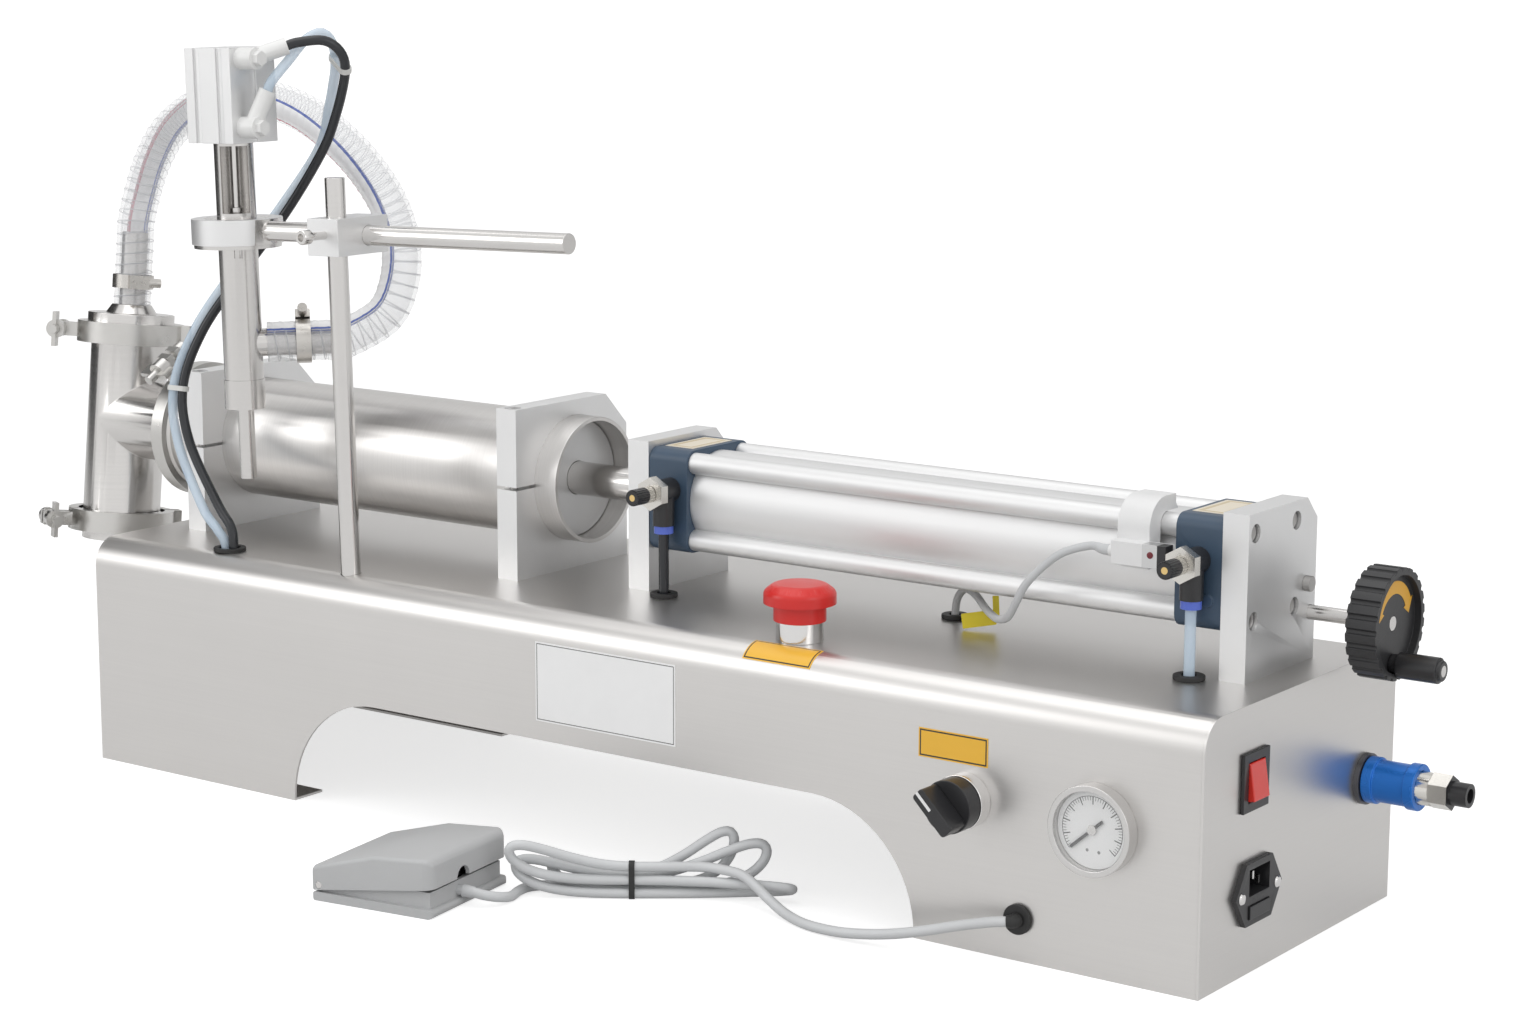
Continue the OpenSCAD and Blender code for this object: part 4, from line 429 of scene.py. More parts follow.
def sleeve(name, line, start_r, end_r, material):
    """A tapered round sleeve about the line, with shallow grooves across it, 3.5 to its length."""
    share = distances(line) / distances(line)[-1]
    groove = 0.25 * np.clip(np.cos(share * 2 * pi * 3.5) - 0.4, 0, 1)
    radius = (start_r + (end_r - start_r) * share - groove) * MM
    sides = 24
    return tube(name, line, np.repeat(radius[:, None], sides, axis=1), sides, material)


def band_ring(name, centre, along, up, cores, radius, width, thickness, material, body="root"):
    """A flat band pulled tight round circles about the cores: each of its points is on the circle
    that reaches furthest that way."""
    along, up = np.asarray(along, float), np.asarray(up, float)
    along = along / np.linalg.norm(along)
    up = up - up.dot(along) * along
    up /= np.linalg.norm(up)
    across = np.cross(up, along)
    sides = 72
    turn = 2 * pi * np.arange(sides) / sides
    out = np.stack([np.cos(turn), np.sin(turn)], axis=1)
    cores = np.asarray(cores, float)
    furthest = cores[np.argmax(out @ cores.T, axis=1)]
    rows = []
    for grow, shift in ((0, -1), (thickness, -1), (thickness, 1), (0, 1)):
        flat = furthest + (radius + grow) * out
        rows.append(np.asarray(centre) + flat[:, :1] * across + flat[:, 1:] * up
                    + shift * width / 2 * along)
    faces = grid_faces(5, sides) % (4 * sides)
    piece = mesh_piece(name, np.vstack(rows) * MM, faces.tolist(), material, body=body)
    return piece


lanes = [(1, 0), (1, 1), (0, 0), (0, 1), (-1, 0), (-1, 1), (-1, 2)]
cord_tie = band_ring("cord_tie", (bundle_x, bundle_y, bundle_floor),
                     (cos(bundle_turn), sin(bundle_turn), 0), (0, 0, 1),
                     [(across * lane_step, up * lane_step) for across, up in lanes],
                     cord_r - 0.1, 3.2, 0.7, black_rubber)
dense = even_line(cord_line, 10 * cord_count)
step = distances(dense)[-1] / (10 * cord_count)
pedal_sleeve = sleeve("pedal_sleeve", dense[int(0.0055 / step):int(0.013 / step):8], 3.7, 3.0,
                      cord_grey)
panel_sleeve = sleeve("panel_sleeve", dense[-int(0.0088 / step):-int(0.016 / step):-8], 4.2, 3.1,
                      black_rubber)
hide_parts("cord_hank", "cord_lead", "cord_tail")


# The filling hose: clear vinyl with a helical rib and a printed white band between two lines.
# It is clamped on the tee's barb and the nozzle's barb.
def stand_place(x, y, z):
    """A point of the leaning stand, whose foot is on the cabinet's top, in millimetres."""
    lean = radians(1.6)
    return np.array([-191.3 + x * cos(lean) - z * sin(lean), -90.7 + y,
                     142.5 + x * sin(lean) + z * cos(lean)])


def tee_place(x, y, z):
    """A point of the leaning tee, from where its two tubes cross."""
    lean = radians(6.4)
    return np.array([-484.6 + x, 5 + y * cos(lean) + z * sin(lean),
                     197.4 - y * sin(lean) + z * cos(lean)])


nozzle_x, nozzle_y, inlet_height, inlet_turn = -96.2, 14.1, 132, pi / 4


def inlet_place(reach):
    """A point on the axis of the nozzle's side inlet."""
    return stand_place(nozzle_x + reach * cos(inlet_turn), nozzle_y + reach * sin(inlet_turn),
                       inlet_height)


hose_foot = 76.3
hose_line = ([tee_place(0, 0, hose_foot + z) for z in (0, 24, 44.85, 54.3)]
             + [[-483, 24, 345], [-474, 26, 368], [-457, 26, 389], [-428, 24, 405],
                [-394, 22, 414], [-357, 19, 413], [-324, 16, 406], [-292, 12, 392],
                [-264, 8, 374], [-242, 4, 353], [-229, 0, 329], [-226, -6, 306],
                [-230, -16, 287]]
             + [inlet_place(reach) for reach in (61.3, 51.85, 35, 15)])
hose_line = smooth_line(hose_line, 12)
rib_pitch, steps, hose_sides = 7, 8, 40
ribs = round(distances(hose_line)[-1] / rib_pitch)
hose_line = even_line(hose_line, steps * ribs) * MM
row, turn = np.meshgrid(np.arange(len(hose_line)), 2 * pi * np.arange(hose_sides) / hose_sides,
                        indexing="ij")
wave = np.cos(2 * pi * row / steps - turn)
hose_radius = (12.2 + 0.35 * np.maximum(wave, -0.2) ** 5) * MM
vinyl = Finish("clear_ribbed_vinyl")
run = vinyl.node("ShaderNodeUVMap", uv_map="run")
around, along, _ = vinyl.split(run)
uv_to_mm = 100
helix = (along / (rib_pitch / uv_to_mm) - around).fraction()
rib = (abs(helix - 0.5) * 2) ** 12
band_twist = ((2.3 - along) / 0.8).most(0.0).least(1.0)
middle = 0.78 - 0.42 * band_twist
half_band, half_line = 0.085, 0.010
band = abs(around - middle) < half_band
blue = abs(around - middle + half_band) < half_line
red = abs(around - middle - half_band) < half_line
body_tone = vinyl.blend(rib, (0.84, 0.85, 0.87), (0.47, 0.48, 0.50))
body_tone = vinyl.blend(band, body_tone, (0.93, 0.93, 0.94))
body_tone = vinyl.blend(blue, body_tone, (0.07, 0.12, 0.42))
body_tone = vinyl.blend(red, body_tone, (0.62, 0.16, 0.22))
vinyl.surface(Base_Color=body_tone, Roughness=0.14 + 0.2 * rib,
              Alpha=(0.19 + 0.48 * rib).most(0.80 * band.most(blue.most(red))), IOR=1.4)
hose = tube("ribbed_hose", hose_line, hose_radius, hose_sides, vinyl.material,
            body=None, inner=9.7 * MM, start=(1, 0, 0))
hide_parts("filling_hose")
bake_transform(hose)


# The air tubes: 6 mm polyurethane, black to the upper elbow and clear bluish to the lower one.
# Both rise through one grommet, tied together at two places, and push into their elbows. Short
# ones serve the two flow controls of the air cylinder.
def elbow_end(height, tilt):
    """A tube's last three points, outside, at the mouth of and inside an elbow."""
    elbow_x, elbow_y, arm_len = nozzle_x + 25.6, 5.1, 24
    points = []
    for along in (arm_len + 6, arm_len, arm_len - 6.3):
        points.append(stand_place(elbow_x + along * sin(tilt) * cos(inlet_turn),
                                  elbow_y + along * sin(tilt) * sin(inlet_turn),
                                  height + along * cos(tilt)))
    return points


upper_elbow, lower_elbow = (305, radians(73)), (264, radians(25))
black_line = ([[-295.1, -85.2, 118.3], [-295.1, -85.2, 145],
               [-298, -84, 157], [-312, -82, 171], [-339, -78, 207], [-347, -74, 240],
               [-338, -64, 275], [-321, -46, 310], [-293, -33, 350], [-263, -32, 388],
               [-250, -33, 411], [-240, -36, 432], [-235, -41, 444], [-236, -47, 452],
               [-241, -54, 456]] + elbow_end(*upper_elbow))
clear_line = ([[-301.7, -85.2, 118.3], [-301.7, -85.2, 145],
               [-308, -86, 155], [-323, -84, 168], [-348, -79, 206], [-354, -75, 240],
               [-345, -64, 275], [-328, -46, 311], [-301, -32, 350], [-273, -25, 388],
               [-263, -26, 413], [-256, -29, 428], [-250, -33, 440], [-247, -38, 453],
               [-249, -45, 460], [-254, -54, 456], [-257, -66, 444]]
              + elbow_end(*lower_elbow))
black_vinyl = plain("black_polyurethane", (0.022, 0.024, 0.028), 0.22, 700, 0.2, 0.00001)
clear_vinyl = Finish("clear_blue_polyurethane")
clear_cloud = clear_vinyl.noise(60)
clear_vinyl.surface(Base_Color=clear_vinyl.blend(clear_cloud, (0.60, 0.74, 0.88),
                                                 (0.72, 0.83, 0.93)),
                    Roughness=0.12 + 0.06 * clear_cloud, Alpha=0.62, IOR=1.4)
air_tubes, tube_lines = {}, {}
for name, points, finish, slot_name in (
        ("black_tube", black_line, black_vinyl, "black_tube"),
        ("clear_tube", clear_line, clear_vinyl.material, "clear_tube")):
    line = even_line(smooth_line(points, 10), 150) * MM
    piece = tube(name, line, 3 * MM, 18, finish, body=None, start=(1, 0, 0))
    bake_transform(piece)
    air_tubes[name] = piece
    tube_lines[name] = line
pale_nylon = plain("pale_nylon", (0.70, 0.70, 0.68), 0.4, 600, 0.04, 0.00001)
lines = [even_line(line, 1500) for line in tube_lines.values()]
for tie_name, aim in (("lower_tie", (-346, -74, 238)), ("upper_tie", (-243.5, -38.5, 441.5))):
    near = [line[np.argmin(np.linalg.norm(line - np.array(aim) * MM, axis=1))] for line in lines]
    first = lines[0]
    at = np.argmin(np.linalg.norm(first - near[0], axis=1))
    apart = near[1] - near[0]
    half_gap = float(np.linalg.norm(apart)) / 2 / MM
    tie = band_ring(tie_name, (near[0] + near[1]) / 2 / MM, first[at + 8] - first[at - 8], apart,
                    [(0, -half_gap), (0, half_gap)], 2.95, 3.2, 0.9, pale_nylon, body=None)
    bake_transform(tie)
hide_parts("black_air_tube")
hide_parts("clear_air_tube")

valve_left, valve_right = np.array([47.45, -46, 114.75]), np.array([97.55, -46, 114.75])
down = [190.6, 148.5, 136.5]
front_tube = ([[0, -32, z] for z in down] + [[0, -32, 122], [3, -34, 111], [15, -40, 107]]
              + [valve_left + [d * 6, 0, 0] for d in (-2, -1, 0)])
rear_tube = ([[343.25, -32, z] for z in down]
             + [[343, -32, 122], [338, -34, 108], [318, -38, 100], [280, -40, 97],
                [220, -44, 96], [160, -46, 101]]
             + [valve_right + [d * 6, 0, 0] for d in (2, 1, 0)])
for name, points, finish in (("front_control_tube", front_tube, black_vinyl),
                             ("rear_control_tube", rear_tube, clear_vinyl.material)):
    line = even_line(smooth_line(points, 8), 90) * MM
    piece = tube(name, line, 3 * MM, 18, finish, start=(1, 0, 0))
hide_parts("cylinder_air_tubes")

# The sensor's cable: thin grey vinyl from the reed sensor down to its grommet. A short sleeve
# guards it at the sensor, and a bare yellow tag hangs on it by a narrow stem.
cable_line = [[299.1, -39.7, 206.8], [294.7, -39.7, 206.8], [286, -37, 207], [271, -39, 202],
              [259, -40, 193], [249, -41, 182], [242, -39, 171], [233, -32, 161],
              [219, -20, 156], [203, -6, 157], [188, 8, 160], [176, 16, 161], [168, 20, 154],
              [166.5, 20, 142.5], [166.5, 20, 130.5]]
cable_line = even_line(smooth_line(cable_line, 10), 140) * MM
cable_grey = plain("grey_cable_vinyl", (0.56, 0.57, 0.58), 0.45, 600, 0.05, 0.00002)
cable = tube("sensor_lead", cable_line, 2.2 * MM, 16, cable_grey)
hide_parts("sensor_cable")
sensor_sleeve = sleeve("sensor_sleeve", even_line(cable_line[:7], 24), 3.1, 2.45, cable_grey)
tag_yellow = plain("yellow_tag", (0.86, 0.70, 0.03), 0.4, 300, 0.04, 0.00001)


def plate(name, outline, centre, right, up, thickness, material, body="root"):
    """A flat outline in millimetres, across right and up, given a thickness along their normal."""
    right, up = np.asarray(right, float), np.asarray(up, float)
    normal = np.cross(right, up)
    outline = np.asarray(outline, float)
    ground = np.asarray(centre) + outline[:, :1] * right + outline[:, 1:] * up
    n = len(outline)
    points = np.vstack([ground, ground + thickness * normal])
    faces = [list(range(n))[::-1], list(range(n, 2 * n))]
    faces += [[k, (k + 1) % n, n + (k + 1) % n, n + k] for k in range(n)]
    return mesh_piece(name, points * MM, faces, material, body=body)


def rectangle(wide, high, corner):
    """A rectangle about its middle, its corners quarter circles of five points."""
    a = np.concatenate([np.linspace(q, q + pi / 2, 5) for q in (0, pi / 2, pi, 3 * pi / 2)])
    quarter = np.repeat([[1, 1], [-1, 1], [-1, -1], [1, -1]], 5, axis=0)
    return np.stack([quarter[:, 0] * (wide / 2 - corner) + corner * np.cos(a),
                     quarter[:, 1] * (high / 2 - corner) + corner * np.sin(a)], axis=1)


tag = plate("cable_tag", rectangle(19, 8.5, 0.8), (193.5, 2, 148.6), (0.80, 0.58, 0.13),
            (-0.12, -0.06, 0.99), 0.35, tag_yellow)
tag_stem = plate("cable_tag_stem", rectangle(3.6, 12, 0.5), (203.5, 3.6, 156.8), (0.80, 0.58, 0.0),
                 (-0.05, -0.02, 1.0), 0.35, tag_yellow)


# The cabinet: brushed stainless sheet, bent along its two top edges and closed by end panels.
# Every rigid node is shown by a copy of its solid with whole faces, smooth curves and soft edges.
def dress(node, material, edge, segments=2, rounds=()):
    """The solid's triangles are merged, flat faces made whole, and sharp edges rounded by edge in
    metres. Each of the rounds gives a radius to the outer edges that its test picks."""
    crease = 30
    source = frame["nodes"][node]
    mesh = source.data.copy()
    mesh.name = node + "_skin"
    shape = bmesh.new()
    shape.from_mesh(mesh)
    bmesh.ops.remove_doubles(shape, verts=shape.verts, dist=2e-6)
    bmesh.ops.dissolve_limit(shape, angle_limit=radians(0.5), verts=shape.verts,
                             edges=shape.edges)
    for radius, test in rounds:
        shape.normal_update()
        picked = [e for e in shape.edges if e.calc_face_angle_signed(0) > 0.3 and test(e)]
        bmesh.ops.bevel(shape, geom=picked, offset=radius, segments=5, profile=0.5,
                        affect="EDGES", clamp_overlap=False)
    shape.to_mesh(mesh)
    shape.free()
    mesh.materials.clear()
    mesh.materials.append(material)
    mesh.shade_smooth()
    mesh.set_sharp_from_angle(angle=radians(crease))
    piece = bpy.data.objects.new(mesh.name, mesh)
    scene.collection.objects.link(piece)
    if edge:
        soften = piece.modifiers.new("softened", "BEVEL")
        soften.width = edge
        soften.segments = segments
        soften.limit_method = "ANGLE"
        soften.angle_limit = radians(crease)
        soften.harden_normals = True
        soften.use_clamp_overlap = True
    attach(piece, source["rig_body"])
    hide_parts(node)
    return piece


def brushed(name, rgb, rough, stretch, depth, contrast):
    """Brushed metal: fine lines run where the stretch is small, with broad faint smudges."""
    f = Finish(name)
    lines, cloud = f.noise(1, 4, 0.7, stretch), f.noise(9, 3)
    tone = 0.65 * lines + 0.35 * cloud
    return f.surface(
        Base_Color=f.blend(tone, shade(rgb, 1 - contrast), shade(rgb, 1 + contrast)),
        Metallic=1.0, Roughness=rough - 0.09 + 0.10 * lines + 0.08 * cloud,
        Normal=f.bump(lines, depth))


sheet_steel = brushed("brushed_sheet", (0.67, 0.655, 0.64), 0.36, (6, 900, 900), 0.000006, 0.06)
panel_steel = brushed("brushed_panel", (0.68, 0.665, 0.65), 0.34, (900, 8, 900), 0.000006, 0.05)
dress("cabinet_shell", sheet_steel, 0.0004)
dress("end_panels", panel_steel, 0.0012, segments=3)


# Printed labels: bare polyester stickers with a dark border, stuck on the front sheet, the front
# bend and the two caps. The rating plate on the front is white.
def label(name, grid, normals, paper, ink, border=(0.7, 1.5)):
    """Two layers 0.3 mm apart over a grid of points, closed round the edge, with millimetre UV.
    The border is a line between two distances from the edge."""
    rows, columns, _ = grid.shape
    outer = (grid + 0.25 * normals).reshape(-1, 3)
    inner = (grid - 0.05 * normals).reshape(-1, 3)
    n = rows * columns
    faces = grid_faces(rows, columns, False)
    skin = np.vstack([faces, faces[:, ::-1] + n]).tolist()
    rim = (list(range(columns)) + [columns - 1 + columns * k for k in range(1, rows)]
           + [n - 1 - k for k in range(1, columns)]
           + [columns * k for k in range(rows - 2, 0, -1)])
    for k, m in zip(rim, rim[1:] + rim[:1]):
        skin.append([m, k, n + k, n + m])
    wide = distances(grid[0])
    high = distances(grid[:, 0])
    u, v = np.meshgrid(wide - wide[-1] / 2, high - high[-1] / 2)
    f = Finish(name + "_print")
    across, upward_mm, _ = f.split(f.node("ShaderNodeUVMap", uv_map="face"))
    gap_u, gap_v = abs(across) - float(wide[-1] / 2), abs(upward_mm) - float(high[-1] / 2)
    near = gap_u.most(gap_v)
    line = (near > -border[1]) * (near < -border[0])
    tone = f.blend(f.noise(60), shade(paper, 0.97), shade(paper, 1.03))
    f.surface(Base_Color=f.blend(line, tone, ink), Roughness=0.32 + 0.08 * f.noise(200))
    piece = mesh_piece(name, np.vstack([outer, inner]) * MM, skin, f.material)
    mesh = piece.data
    index = np.empty(len(mesh.loops), int)
    mesh.loops.foreach_get("vertex_index", index)
    flat = np.stack([u.ravel()[index % n], v.ravel()[index % n]], axis=1)
    mesh.uv_layers.new(name="face").data.foreach_set("uv", flat.ravel())
    return piece


def flat_grid(corner, right, up):
    """The four corners of a flat sheet and its normal."""
    corner, right, up = (np.asarray(q, float) for q in (corner, right, up))
    normal = np.cross(right, up) / np.linalg.norm(np.cross(right, up))
    return np.array([[corner, corner + right], [corner + up, corner + up + right]]), normal


yellow, dark_ink, white_paper = (0.88, 0.50, 0.05), (0.03, 0.03, 0.03), (0.93, 0.93, 0.93)
front_face, cabinet_top, bend_r = -108.5, 142.5, 17
label("selector_label", *flat_grid((227, front_face, 99.6), (42.5, 0, 0), (0, 0, 15.6)), yellow,
      dark_ink)
label("rating_plate", *flat_grid((-33, front_face, 79.3), (100, 0, 0), (0, 0, 46.2)), white_paper,
      (0.12, 0.12, 0.12), (0.9, 1.4))
bend = np.radians(np.linspace(90 - 3.4, 34, 14))
bend_normals = np.stack([0 * bend, -np.cos(bend), np.sin(bend)], axis=1)
bend_points = np.array([0, front_face + bend_r, cabinet_top - bend_r]) + bend_r * bend_normals
stop_grid = np.stack([bend_points[::-1] + [x, 0, 0] for x in (110.4, 155)], axis=1)
label("stop_label", stop_grid, np.stack([bend_normals[::-1]] * 2, axis=1), yellow, dark_ink)
for name, x in (("front_cap_label", -12.5), ("rear_cap_label", 333)):
    label(name, *flat_grid((x, -14, 227.4), (20, 0, 0), (0, 38, 0)), (0.80, 0.72, 0.58),
          (0.62, 0.50, 0.30), (2.0, 4.5))


# Blocks, plates and actuator: bead-blasted aluminium with a clear satin anodising, screwed down
# from below. The barrel is a drawn aluminium profile, and the carriage a pale moulded block.
satin = ((0.80, 0.80, 0.80), 0.9, 0.42)
satin_aluminium = Finish("satin_aluminium").layered(satin, grain=1500, depth=0.000008, mottle=0.03)
for node, edge in (("mounting_blocks", 0.0007), ("cross_block", 0.0006),
                   ("nozzle_actuator", 0.0005)):
    dress(node, satin_aluminium, edge)
dress("sensor_carriage", plain("pale_carriage", (0.80, 0.80, 0.79), 0.38, 1200, 0.03,
                               0.000008), 0.0006)
dress("air_barrel", brushed("drawn_barrel", (0.76, 0.76, 0.76), 0.54, (8, 500, 500),
                            0.000003, 0.03), 0.0003)

# Frame screws: steel socket screws that hold the blocks together and the plates to the caps,
# with their heads in counterbores, and a short bolt beside the lead screw.
dress("frame_screws", plain("screw_steel", (0.42, 0.41, 0.40), 0.30, 900, 0.12, 0.00001,
                            metal=1.0), 0.0003)

# Stainless tubes and rods: the cylinder, tee and nozzle have fine lines around them, and the
# rods are drawn bright. The arm's ring, left of ring_side, is satin aluminium.
turned_x = brushed("turned_along_x", (0.67, 0.655, 0.64), 0.34, (1100, 10, 10), 0.000010, 0.16)
turned_z = brushed("turned_along_z", (0.66, 0.645, 0.63), 0.22, (10, 10, 1100), 0.000005, 0.09)
bright_steel = brushed("bright_rod", (0.68, 0.665, 0.65), 0.17, (60, 60, 700), 0.000002, 0.05)
dress("product_cylinder", turned_x, 0.0004)
for node in ("valve_tee", "tee_ports", "nozzle_body", "nozzle_spout"):
    dress(node, turned_z, 0.0004)
for node, edge in (("piston_rod", 0.0004), ("stand_rod", 0.0006), ("lead_screw", 0.0003),
                   ("valve_rod", 0.0003)):
    dress(node, bright_steel, edge)
steel = ((0.68, 0.665, 0.65), 1.0, 0.17)
ring_side = -267.5
arm = Finish("arm_and_ring")
x, y, z = arm.place_mm()
dress("nozzle_arm", arm.layered(steel, (x < ring_side, satin), grain=1500, depth=0.000006),
      0.0004)

# Sanitary clamps: cast and tumbled stainless rings round the tee's flanges, drawn tight by wing
# nuts. The bright screw and balls, the white seats and the hose's rolled bands are small parts.
cast_steel = plain("cast_stainless", (0.60, 0.59, 0.57), 0.30, 260, 0.10, 0.00006, 1.0)
for node in ("clamp_rings", "side_wing_nut", "top_wing_nut", "bottom_wing_nut"):
    dress(node, cast_steel, 0.0005)
for node, edge in (("height_screw", 0.0005), ("inlet_ball", 0), ("outlet_ball", 0)):
    dress(node, bright_steel, edge)
dress("valve_seats", plain("white_seal", (0.85, 0.85, 0.83), 0.5, 600, 0.03), 0)
band_steel = brushed("rolled_band", (0.60, 0.58, 0.55), 0.28, (300, 300, 300), 0.00001, 0.1)
for node in ("top_hose_clamp", "nozzle_hose_clamp"):
    dress(node, band_steel, 0.0002)

# Product piston: a light grey disc with seals, fixed on the rod's end and seen in the open end
# of its cylinder.
dress("product_piston", plain("piston_grey", (0.62, 0.62, 0.62), 0.35, 300, 0.05, 0.00001,
                              metal=0.4), 0.0004)

# Air cylinder caps: aluminium castings with a dark blue-grey coat, screwed to the ends of the
# barrel.
dress("air_caps", plain("cap_coat", (0.045, 0.078, 0.125), 0.42, 700, 0.15, 0.00003), 0.0010,
      segments=3)

# Flow controls: black moulded bodies with a nickel hexagon and a blue release ring; each knob
# has a knurled nickel neck, a ridged black grip and a brass centre.
black, nickel = ((0.022, 0.022, 0.024), 0.0, 0.33), ((0.70, 0.68, 0.64), 1.0, 0.24)
brass, chrome = ((0.78, 0.56, 0.24), 1.0, 0.28), ((0.78, 0.77, 0.76), 1.0, 0.14)
control = Finish("flow_control")
x, y, z = control.place_mm()
dress("flow_controls", control.layered(black, (y < -39, nickel),
                                       (z < 184.4, ((0.10, 0.16, 0.62), 0.0, 0.3))), 0.0004)
knob_z, ridges = 204.5, 20
for node, centre in (("front_flow_knob", 0), ("rear_flow_knob", 343.25)):
    knob = Finish(node + "_finish")
    x, y, z = knob.place_mm()
    reach = ((x - centre) ** 2 + (z - knob_z) ** 2) ** 0.5
    ridge = (ridges * (z - knob_z).angle(x - centre)).sine()
    knob.layered(black, (y > -50.5, nickel), ((reach < 1.9) * (y < -61), brass))
    knob.surface(Normal=knob.bump(ridge * (reach > 4), 0.0004))
    dress(node, knob.material, 0.0005)

# Grommets: black rubber rings snapped into the sheet where tubes and cables pass through. The
# valves and the board screwed down inside the cabinet are plain dark parts.
dress("grommets", black_rubber, 0.0005)
dress("control_gear", plain("gear_grey", (0.06, 0.07, 0.065), 0.5), 0)

# Stop button: a red mushroom on a red base above a chrome collar. The same node holds the
# selector's chrome bezel and the black frame of the power switch.
red = ((0.66, 0.022, 0.018), 0.0, 0.30)
selector_x, selector_z, collar_top = 257, 81, 153.7
bases = Finish("control_bases_finish")
x, y, z = bases.place_mm()
reach = ((x - selector_x) ** 2 + (z - selector_z) ** 2) ** 0.5
dress("control_bases", bases.layered(
    black, ((z > 142) * (x < 200) * (z < collar_top), chrome),
    ((z > collar_top - 0.1) * (x < 200), red),
    ((y < front_face + 0.1) * (x > 200) * (x < 300) * (reach > 13.4), chrome)), 0.0004)
dress("estop_button", plain("red_plastic", red[0], 0.30, 300, 0.06, 0.00001), 0.0005,
      rounds=[(0.0018, lambda e: all(v.co.z > 0.1695 for v in e.verts))])

# Selector: a black moulded disc and wing on a stem through the front sheet, with a white line
# along the wing's front.
selector = Finish("selector_finish")
x, y, z = selector.place_mm()
slant = cos(pi / 4)
across = ((x - selector_x) + (z - selector_z)) * slant
along = ((x - selector_x) - (z - selector_z)) * slant
dress("selector_knob", selector.layered(
    black, ((abs(across) < 0.9) * (along < -1.5) * (y < -141.5), ((0.85, 0.85, 0.85), 0.0, 0.4))),
    0.0010, segments=3)

# Pressure gauge: a silver bezel in a hole of the front sheet, a white dial with black ticks, a
# black needle and a slightly domed window.
gauge_x, gauge_z, dial_start, dial_sweep = 334.5, 79, 221, 262
gauge = Finish("gauge_finish")
x, y, z = gauge.place_mm()
reach = ((x - gauge_x) ** 2 + (z - gauge_z) ** 2) ** 0.5
turned = (z - gauge_z).angle(x - gauge_x) * (180 / pi)
share = ((dial_start - turned) % 360) / dial_sweep
major = (abs((share * 10 + 0.5) % 1.0 - 0.5) < 0.045) * (reach > 13.2) * (reach < 17.2)
minor = (abs((share * 50 + 0.5) % 1.0 - 0.5) < 0.10) * (reach > 15.2) * (reach < 17.2)
arc = abs(reach - 17.4) < 0.18
left_dot, right_dot = (((x - at_x) ** 2 + (z - at_z) ** 2) ** 0.5 < 0.9
                       for at_x, at_z in ((331.7, 68.1), (338.5, 67.8)))
inked = (major + minor + arc).least(1.0) * (share < 1.003)
face_zone = (reach < 20.5) * (y < -100)
dress("gauge_case", gauge.layered(
    ((0.66, 0.65, 0.64), 1.0, 0.24), (face_zone, ((0.88, 0.88, 0.88), 0.0, 0.4)),
    (face_zone * inked, ((0.02, 0.02, 0.02), 0.0, 0.4)),
    (face_zone * (left_dot + right_dot), ((0.25, 0.25, 0.25), 0.6, 0.3)), depth=0.000005), 0.0008)
needle = Finish("needle_finish")
x, y, z = needle.place_mm()
reach = ((x - gauge_x) ** 2 + (z - gauge_z) ** 2) ** 0.5
dress("gauge_needle", needle.layered(black, (reach < 2.7, steel)), 0)


def turned_piece(name, profile, centre, axis, material, body="root", sides=40):
    """A profile of radius and height turned about an axis, with flat ends."""
    axis = np.asarray(axis, float)
    off_axis = (0.31, 0.52, 0.79)
    side = np.cross(axis, off_axis)
    side /= np.linalg.norm(side)
    other = np.cross(axis, side)
    turn = 2 * pi * np.arange(sides) / sides
    ring = np.cos(turn)[:, None] * side + np.sin(turn)[:, None] * other
    points = np.vstack([np.asarray(centre) + r * ring + h * axis for r, h in profile])
    faces = grid_faces(len(profile), sides).tolist()
    last = len(points) - sides
    faces += [list(range(sides))[::-1], list(range(last, last + sides))]
    return mesh_piece(name, points * MM, faces, material, body=body)


glass = Finish("gauge_glass")
glass.surface(Base_Color=glass.blend(glass.noise(20), (0.95, 0.97, 0.97), (1, 1, 1)),
              Roughness=0.03 + 0.02 * glass.noise(90), Alpha=0.10, IOR=1.5)
turned_piece("gauge_window", [(20.4, 0), (20.4, 0.9), (12, 1.35), (4, 1.5)],
             (gauge_x, -115.1, gauge_z), (0, -1, 0), glass.material, sides=64)

# Power switch and mains inlet: a red rocker snapped into the end panel, and a black moulded
# inlet with a fuse drawer, held by two chrome screws, with three steel pins inside.
dress("switch_rocker", plain("red_rocker", (0.72, 0.03, 0.02), 0.22, 300, 0.08, 0.00001,
                             Coat_Weight=0.4), 0.0006)
black_plastic = plain("black_plastic", black[0], 0.33, 600, 0.2, 0.00002)
dress("power_inlet", black_plastic, 0.0005)
dress("fuse_drawer", black_plastic, 0.0003)
screw_chrome = plain("screw_chrome", (0.72, 0.71, 0.70), 0.20, 900, 0.05, 0.000005, metal=1.0)
inlet_y, screw_off = -51.6, 19.4
for k, side in enumerate((-1, 1)):
    turned_piece(f"inlet_screw_{k}", [(3.1, 0), (3.1, 0.5), (2.5, 1.3), (1.2, 1.7)],
                 (397.35, inlet_y + screw_off * side, 43.8), (1, 0, 0), screw_chrome)
for k, (dy, dz) in enumerate(((-6.5, -2), (0, 1.5), (6.5, -2))):
    plate(f"inlet_pin_{k}", rectangle(1.8, 4.2, 0.4), (381.2, inlet_y + dy, 49.8 + dz),
          (0, 1, 0), (0, 0, 1), 12.5, screw_chrome)

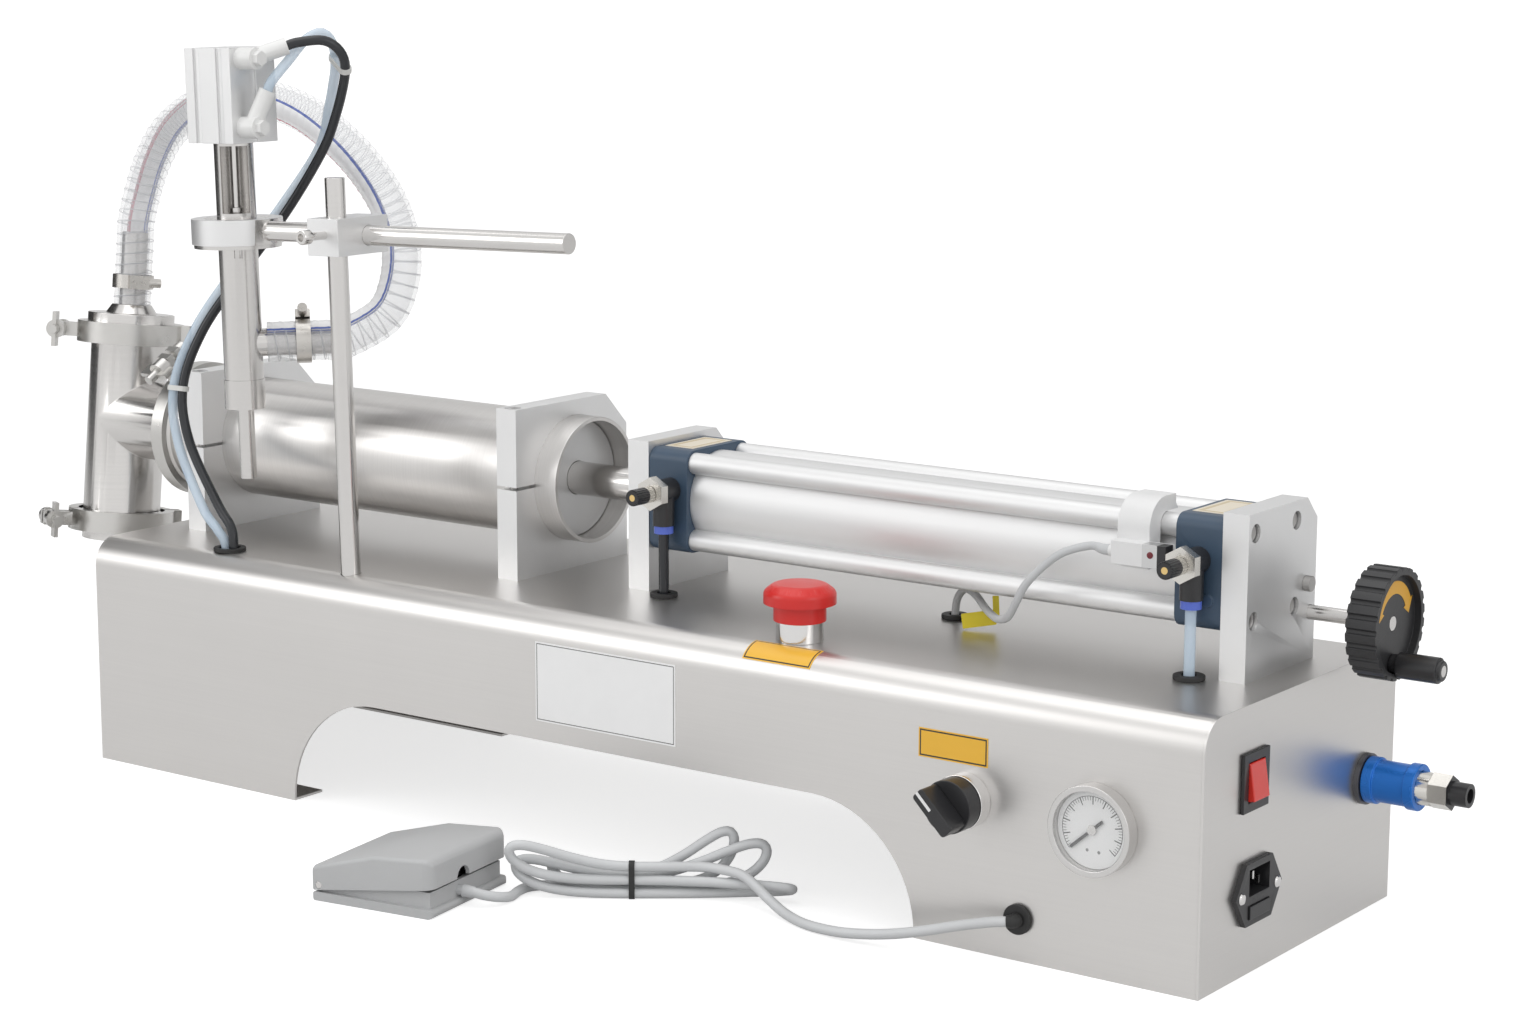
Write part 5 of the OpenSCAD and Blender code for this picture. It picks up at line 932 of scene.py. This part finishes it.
# Handwheel: a black moulded wheel with a fluted rim on the lead screw's end, an orange arc with
# two arrow heads on its face, and a black crank grip that turns on a steel pin.
dress("handwheel", plain("wheel_black", (0.028, 0.028, 0.030), 0.42, 500, 0.2, 0.00003), 0.0006)
wheel_y, wheel_z, crank_z = 46.7, 168.2, 146.6
arc_turns = np.linspace(28, 152, 25)
arc_polar = ([(22.5, turn) for turn in arc_turns] + [(24.6, 152), (18.2, 171), (13.6, 152)]
             + [(15.7, turn) for turn in arc_turns[::-1]] + [(13.6, 28), (18.2, 9), (24.6, 28)])
arc_points = [(r * cos(radians(turn)), r * sin(radians(turn))) for r, turn in arc_polar]
plate("wheel_arrow", arc_points, (419.9, wheel_y, wheel_z), (0, 1, 0), (0, 0, 1), 0.3,
      plain("arrow_orange", (0.80, 0.42, 0.04), 0.4, 300, 0.04, 0.00001), body="screw")
crank = Finish("crank_finish")
x, y, z = crank.place_mm()
reach = ((y - wheel_y) ** 2 + (z - crank_z) ** 2) ** 0.5
dress("crank_knob", crank.layered(black, ((x > 447) * (reach < 3), steel)), 0.0012, segments=3)

# Reed sensor: a white bracket hooked over the barrel's lobe, with the metal sensor below it,
# black at its end, and a dark red lamp.
sensor_face, sensor_metal = -35.8, ((0.62, 0.62, 0.62), 0.9, 0.3)
sensor = Finish("sensor_finish")
x, y, z = sensor.place_mm()
dress("reed_sensor", sensor.layered(
    ((0.78, 0.78, 0.78), 0.0, 0.38), ((x > 320.2) * (y < sensor_face), sensor_metal),
    ((x > 329) * (y < sensor_face), black)), 0.0007, segments=3)
turned_piece("sensor_lamp", [(1.8, 0), (1.8, 0.3), (1.0, 0.6)], (325, -43.6, 207.5), (0, -1, 0),
             plain("lamp_red", (0.16, 0.012, 0.02), 0.15, 300, 0.05, 0.00001))

# Air shut-off: a dark nut on the end panel, a nickel core and hexagon, and a black push-in ring.
# Its sleeve is blue anodised aluminium and slides.
shut_off = Finish("shut_off_finish")
x, y, z = shut_off.place_mm()
dress("air_inlet", shut_off.layered(
    nickel, (x < 397.5, ((0.10, 0.10, 0.11), 0.6, 0.35)), (x > 445.3, black)), 0.0004)
dress("inlet_sleeve", plain("blue_anodised", (0.012, 0.17, 0.62), 0.28, 500, 0.10, 0.00001,
                            metal=0.35), 0.0008, segments=3)

# Elbows: white moulded push-in fittings with hollow bolts, screwed into the actuator's side one
# above the other.
dress("actuator_elbows", plain("white_elbow", (0.82, 0.82, 0.81), 0.35, 500, 0.03, 0.00001),
      0.0006)

# Arm screw: a bright socket screw in the front of the cross block, with a long bare shank and a
# round socket. It rides with the block.
arm_screw = [(2.5, -1), (2.5, 12.5), (3.7, 12.7), (4.3, 13.3), (4.3, 19), (3.9, 19.6),
             (2.3, 19.6), (2.3, 16.6)]
turned_piece("arm_screw", arm_screw, stand_place(1.6, -12.4, 203.2), (0, -1, 0), bright_steel,
             body="nozzle_head")

# Foot pedal: light grey moulded plastic with a fine texture. The treadle is hinged to its base on
# a steel pin at its low end, and a spring lifts it.
pedal_grey = plain("pedal_grey", (0.50, 0.505, 0.51), 0.50, 900, 0.04, 0.00010)


def pedal_back(point):
    """A point's place in the pedal's own frame, in millimetres."""
    x, y = point.x / MM - pedal_x, point.y / MM - pedal_y
    return (x * cos(pedal_turn) + y * sin(pedal_turn),
            y * cos(pedal_turn) - x * sin(pedal_turn), point.z / MM)


def corner_at(x_edge):
    """Picks the upright edges at one end of the pedal."""
    pedal_w, near = 76, 0.05

    def test(edge):
        ends = [pedal_back(v.co) for v in edge.verts]
        return all(abs(x - x_edge) < near and min(abs(y), abs(y - pedal_w)) < near
                   for x, y, _ in ends)
    return test


def top_rim(edge):
    """Picks the edges where the treadle's top meets its sides."""
    slopes = [abs(face.normal.z) for face in edge.link_faces]
    return (max(face.normal.z for face in edge.link_faces) > 0.5 and min(slopes) < 0.3
            and all(v.co.z > 0.015 for v in edge.verts))


pedal_len = 79
dress("pedal_base", pedal_grey, 0.0006,
      rounds=[(0.0026, corner_at(0)), (0.0028, corner_at(pedal_len))])
dress("treadle", pedal_grey, 0.0006,
      rounds=[(0.0026, corner_at(0)), (0.0055, corner_at(pedal_len)), (0.0024, top_rim)])
dress("pedal_works", bright_steel, 0.0003)
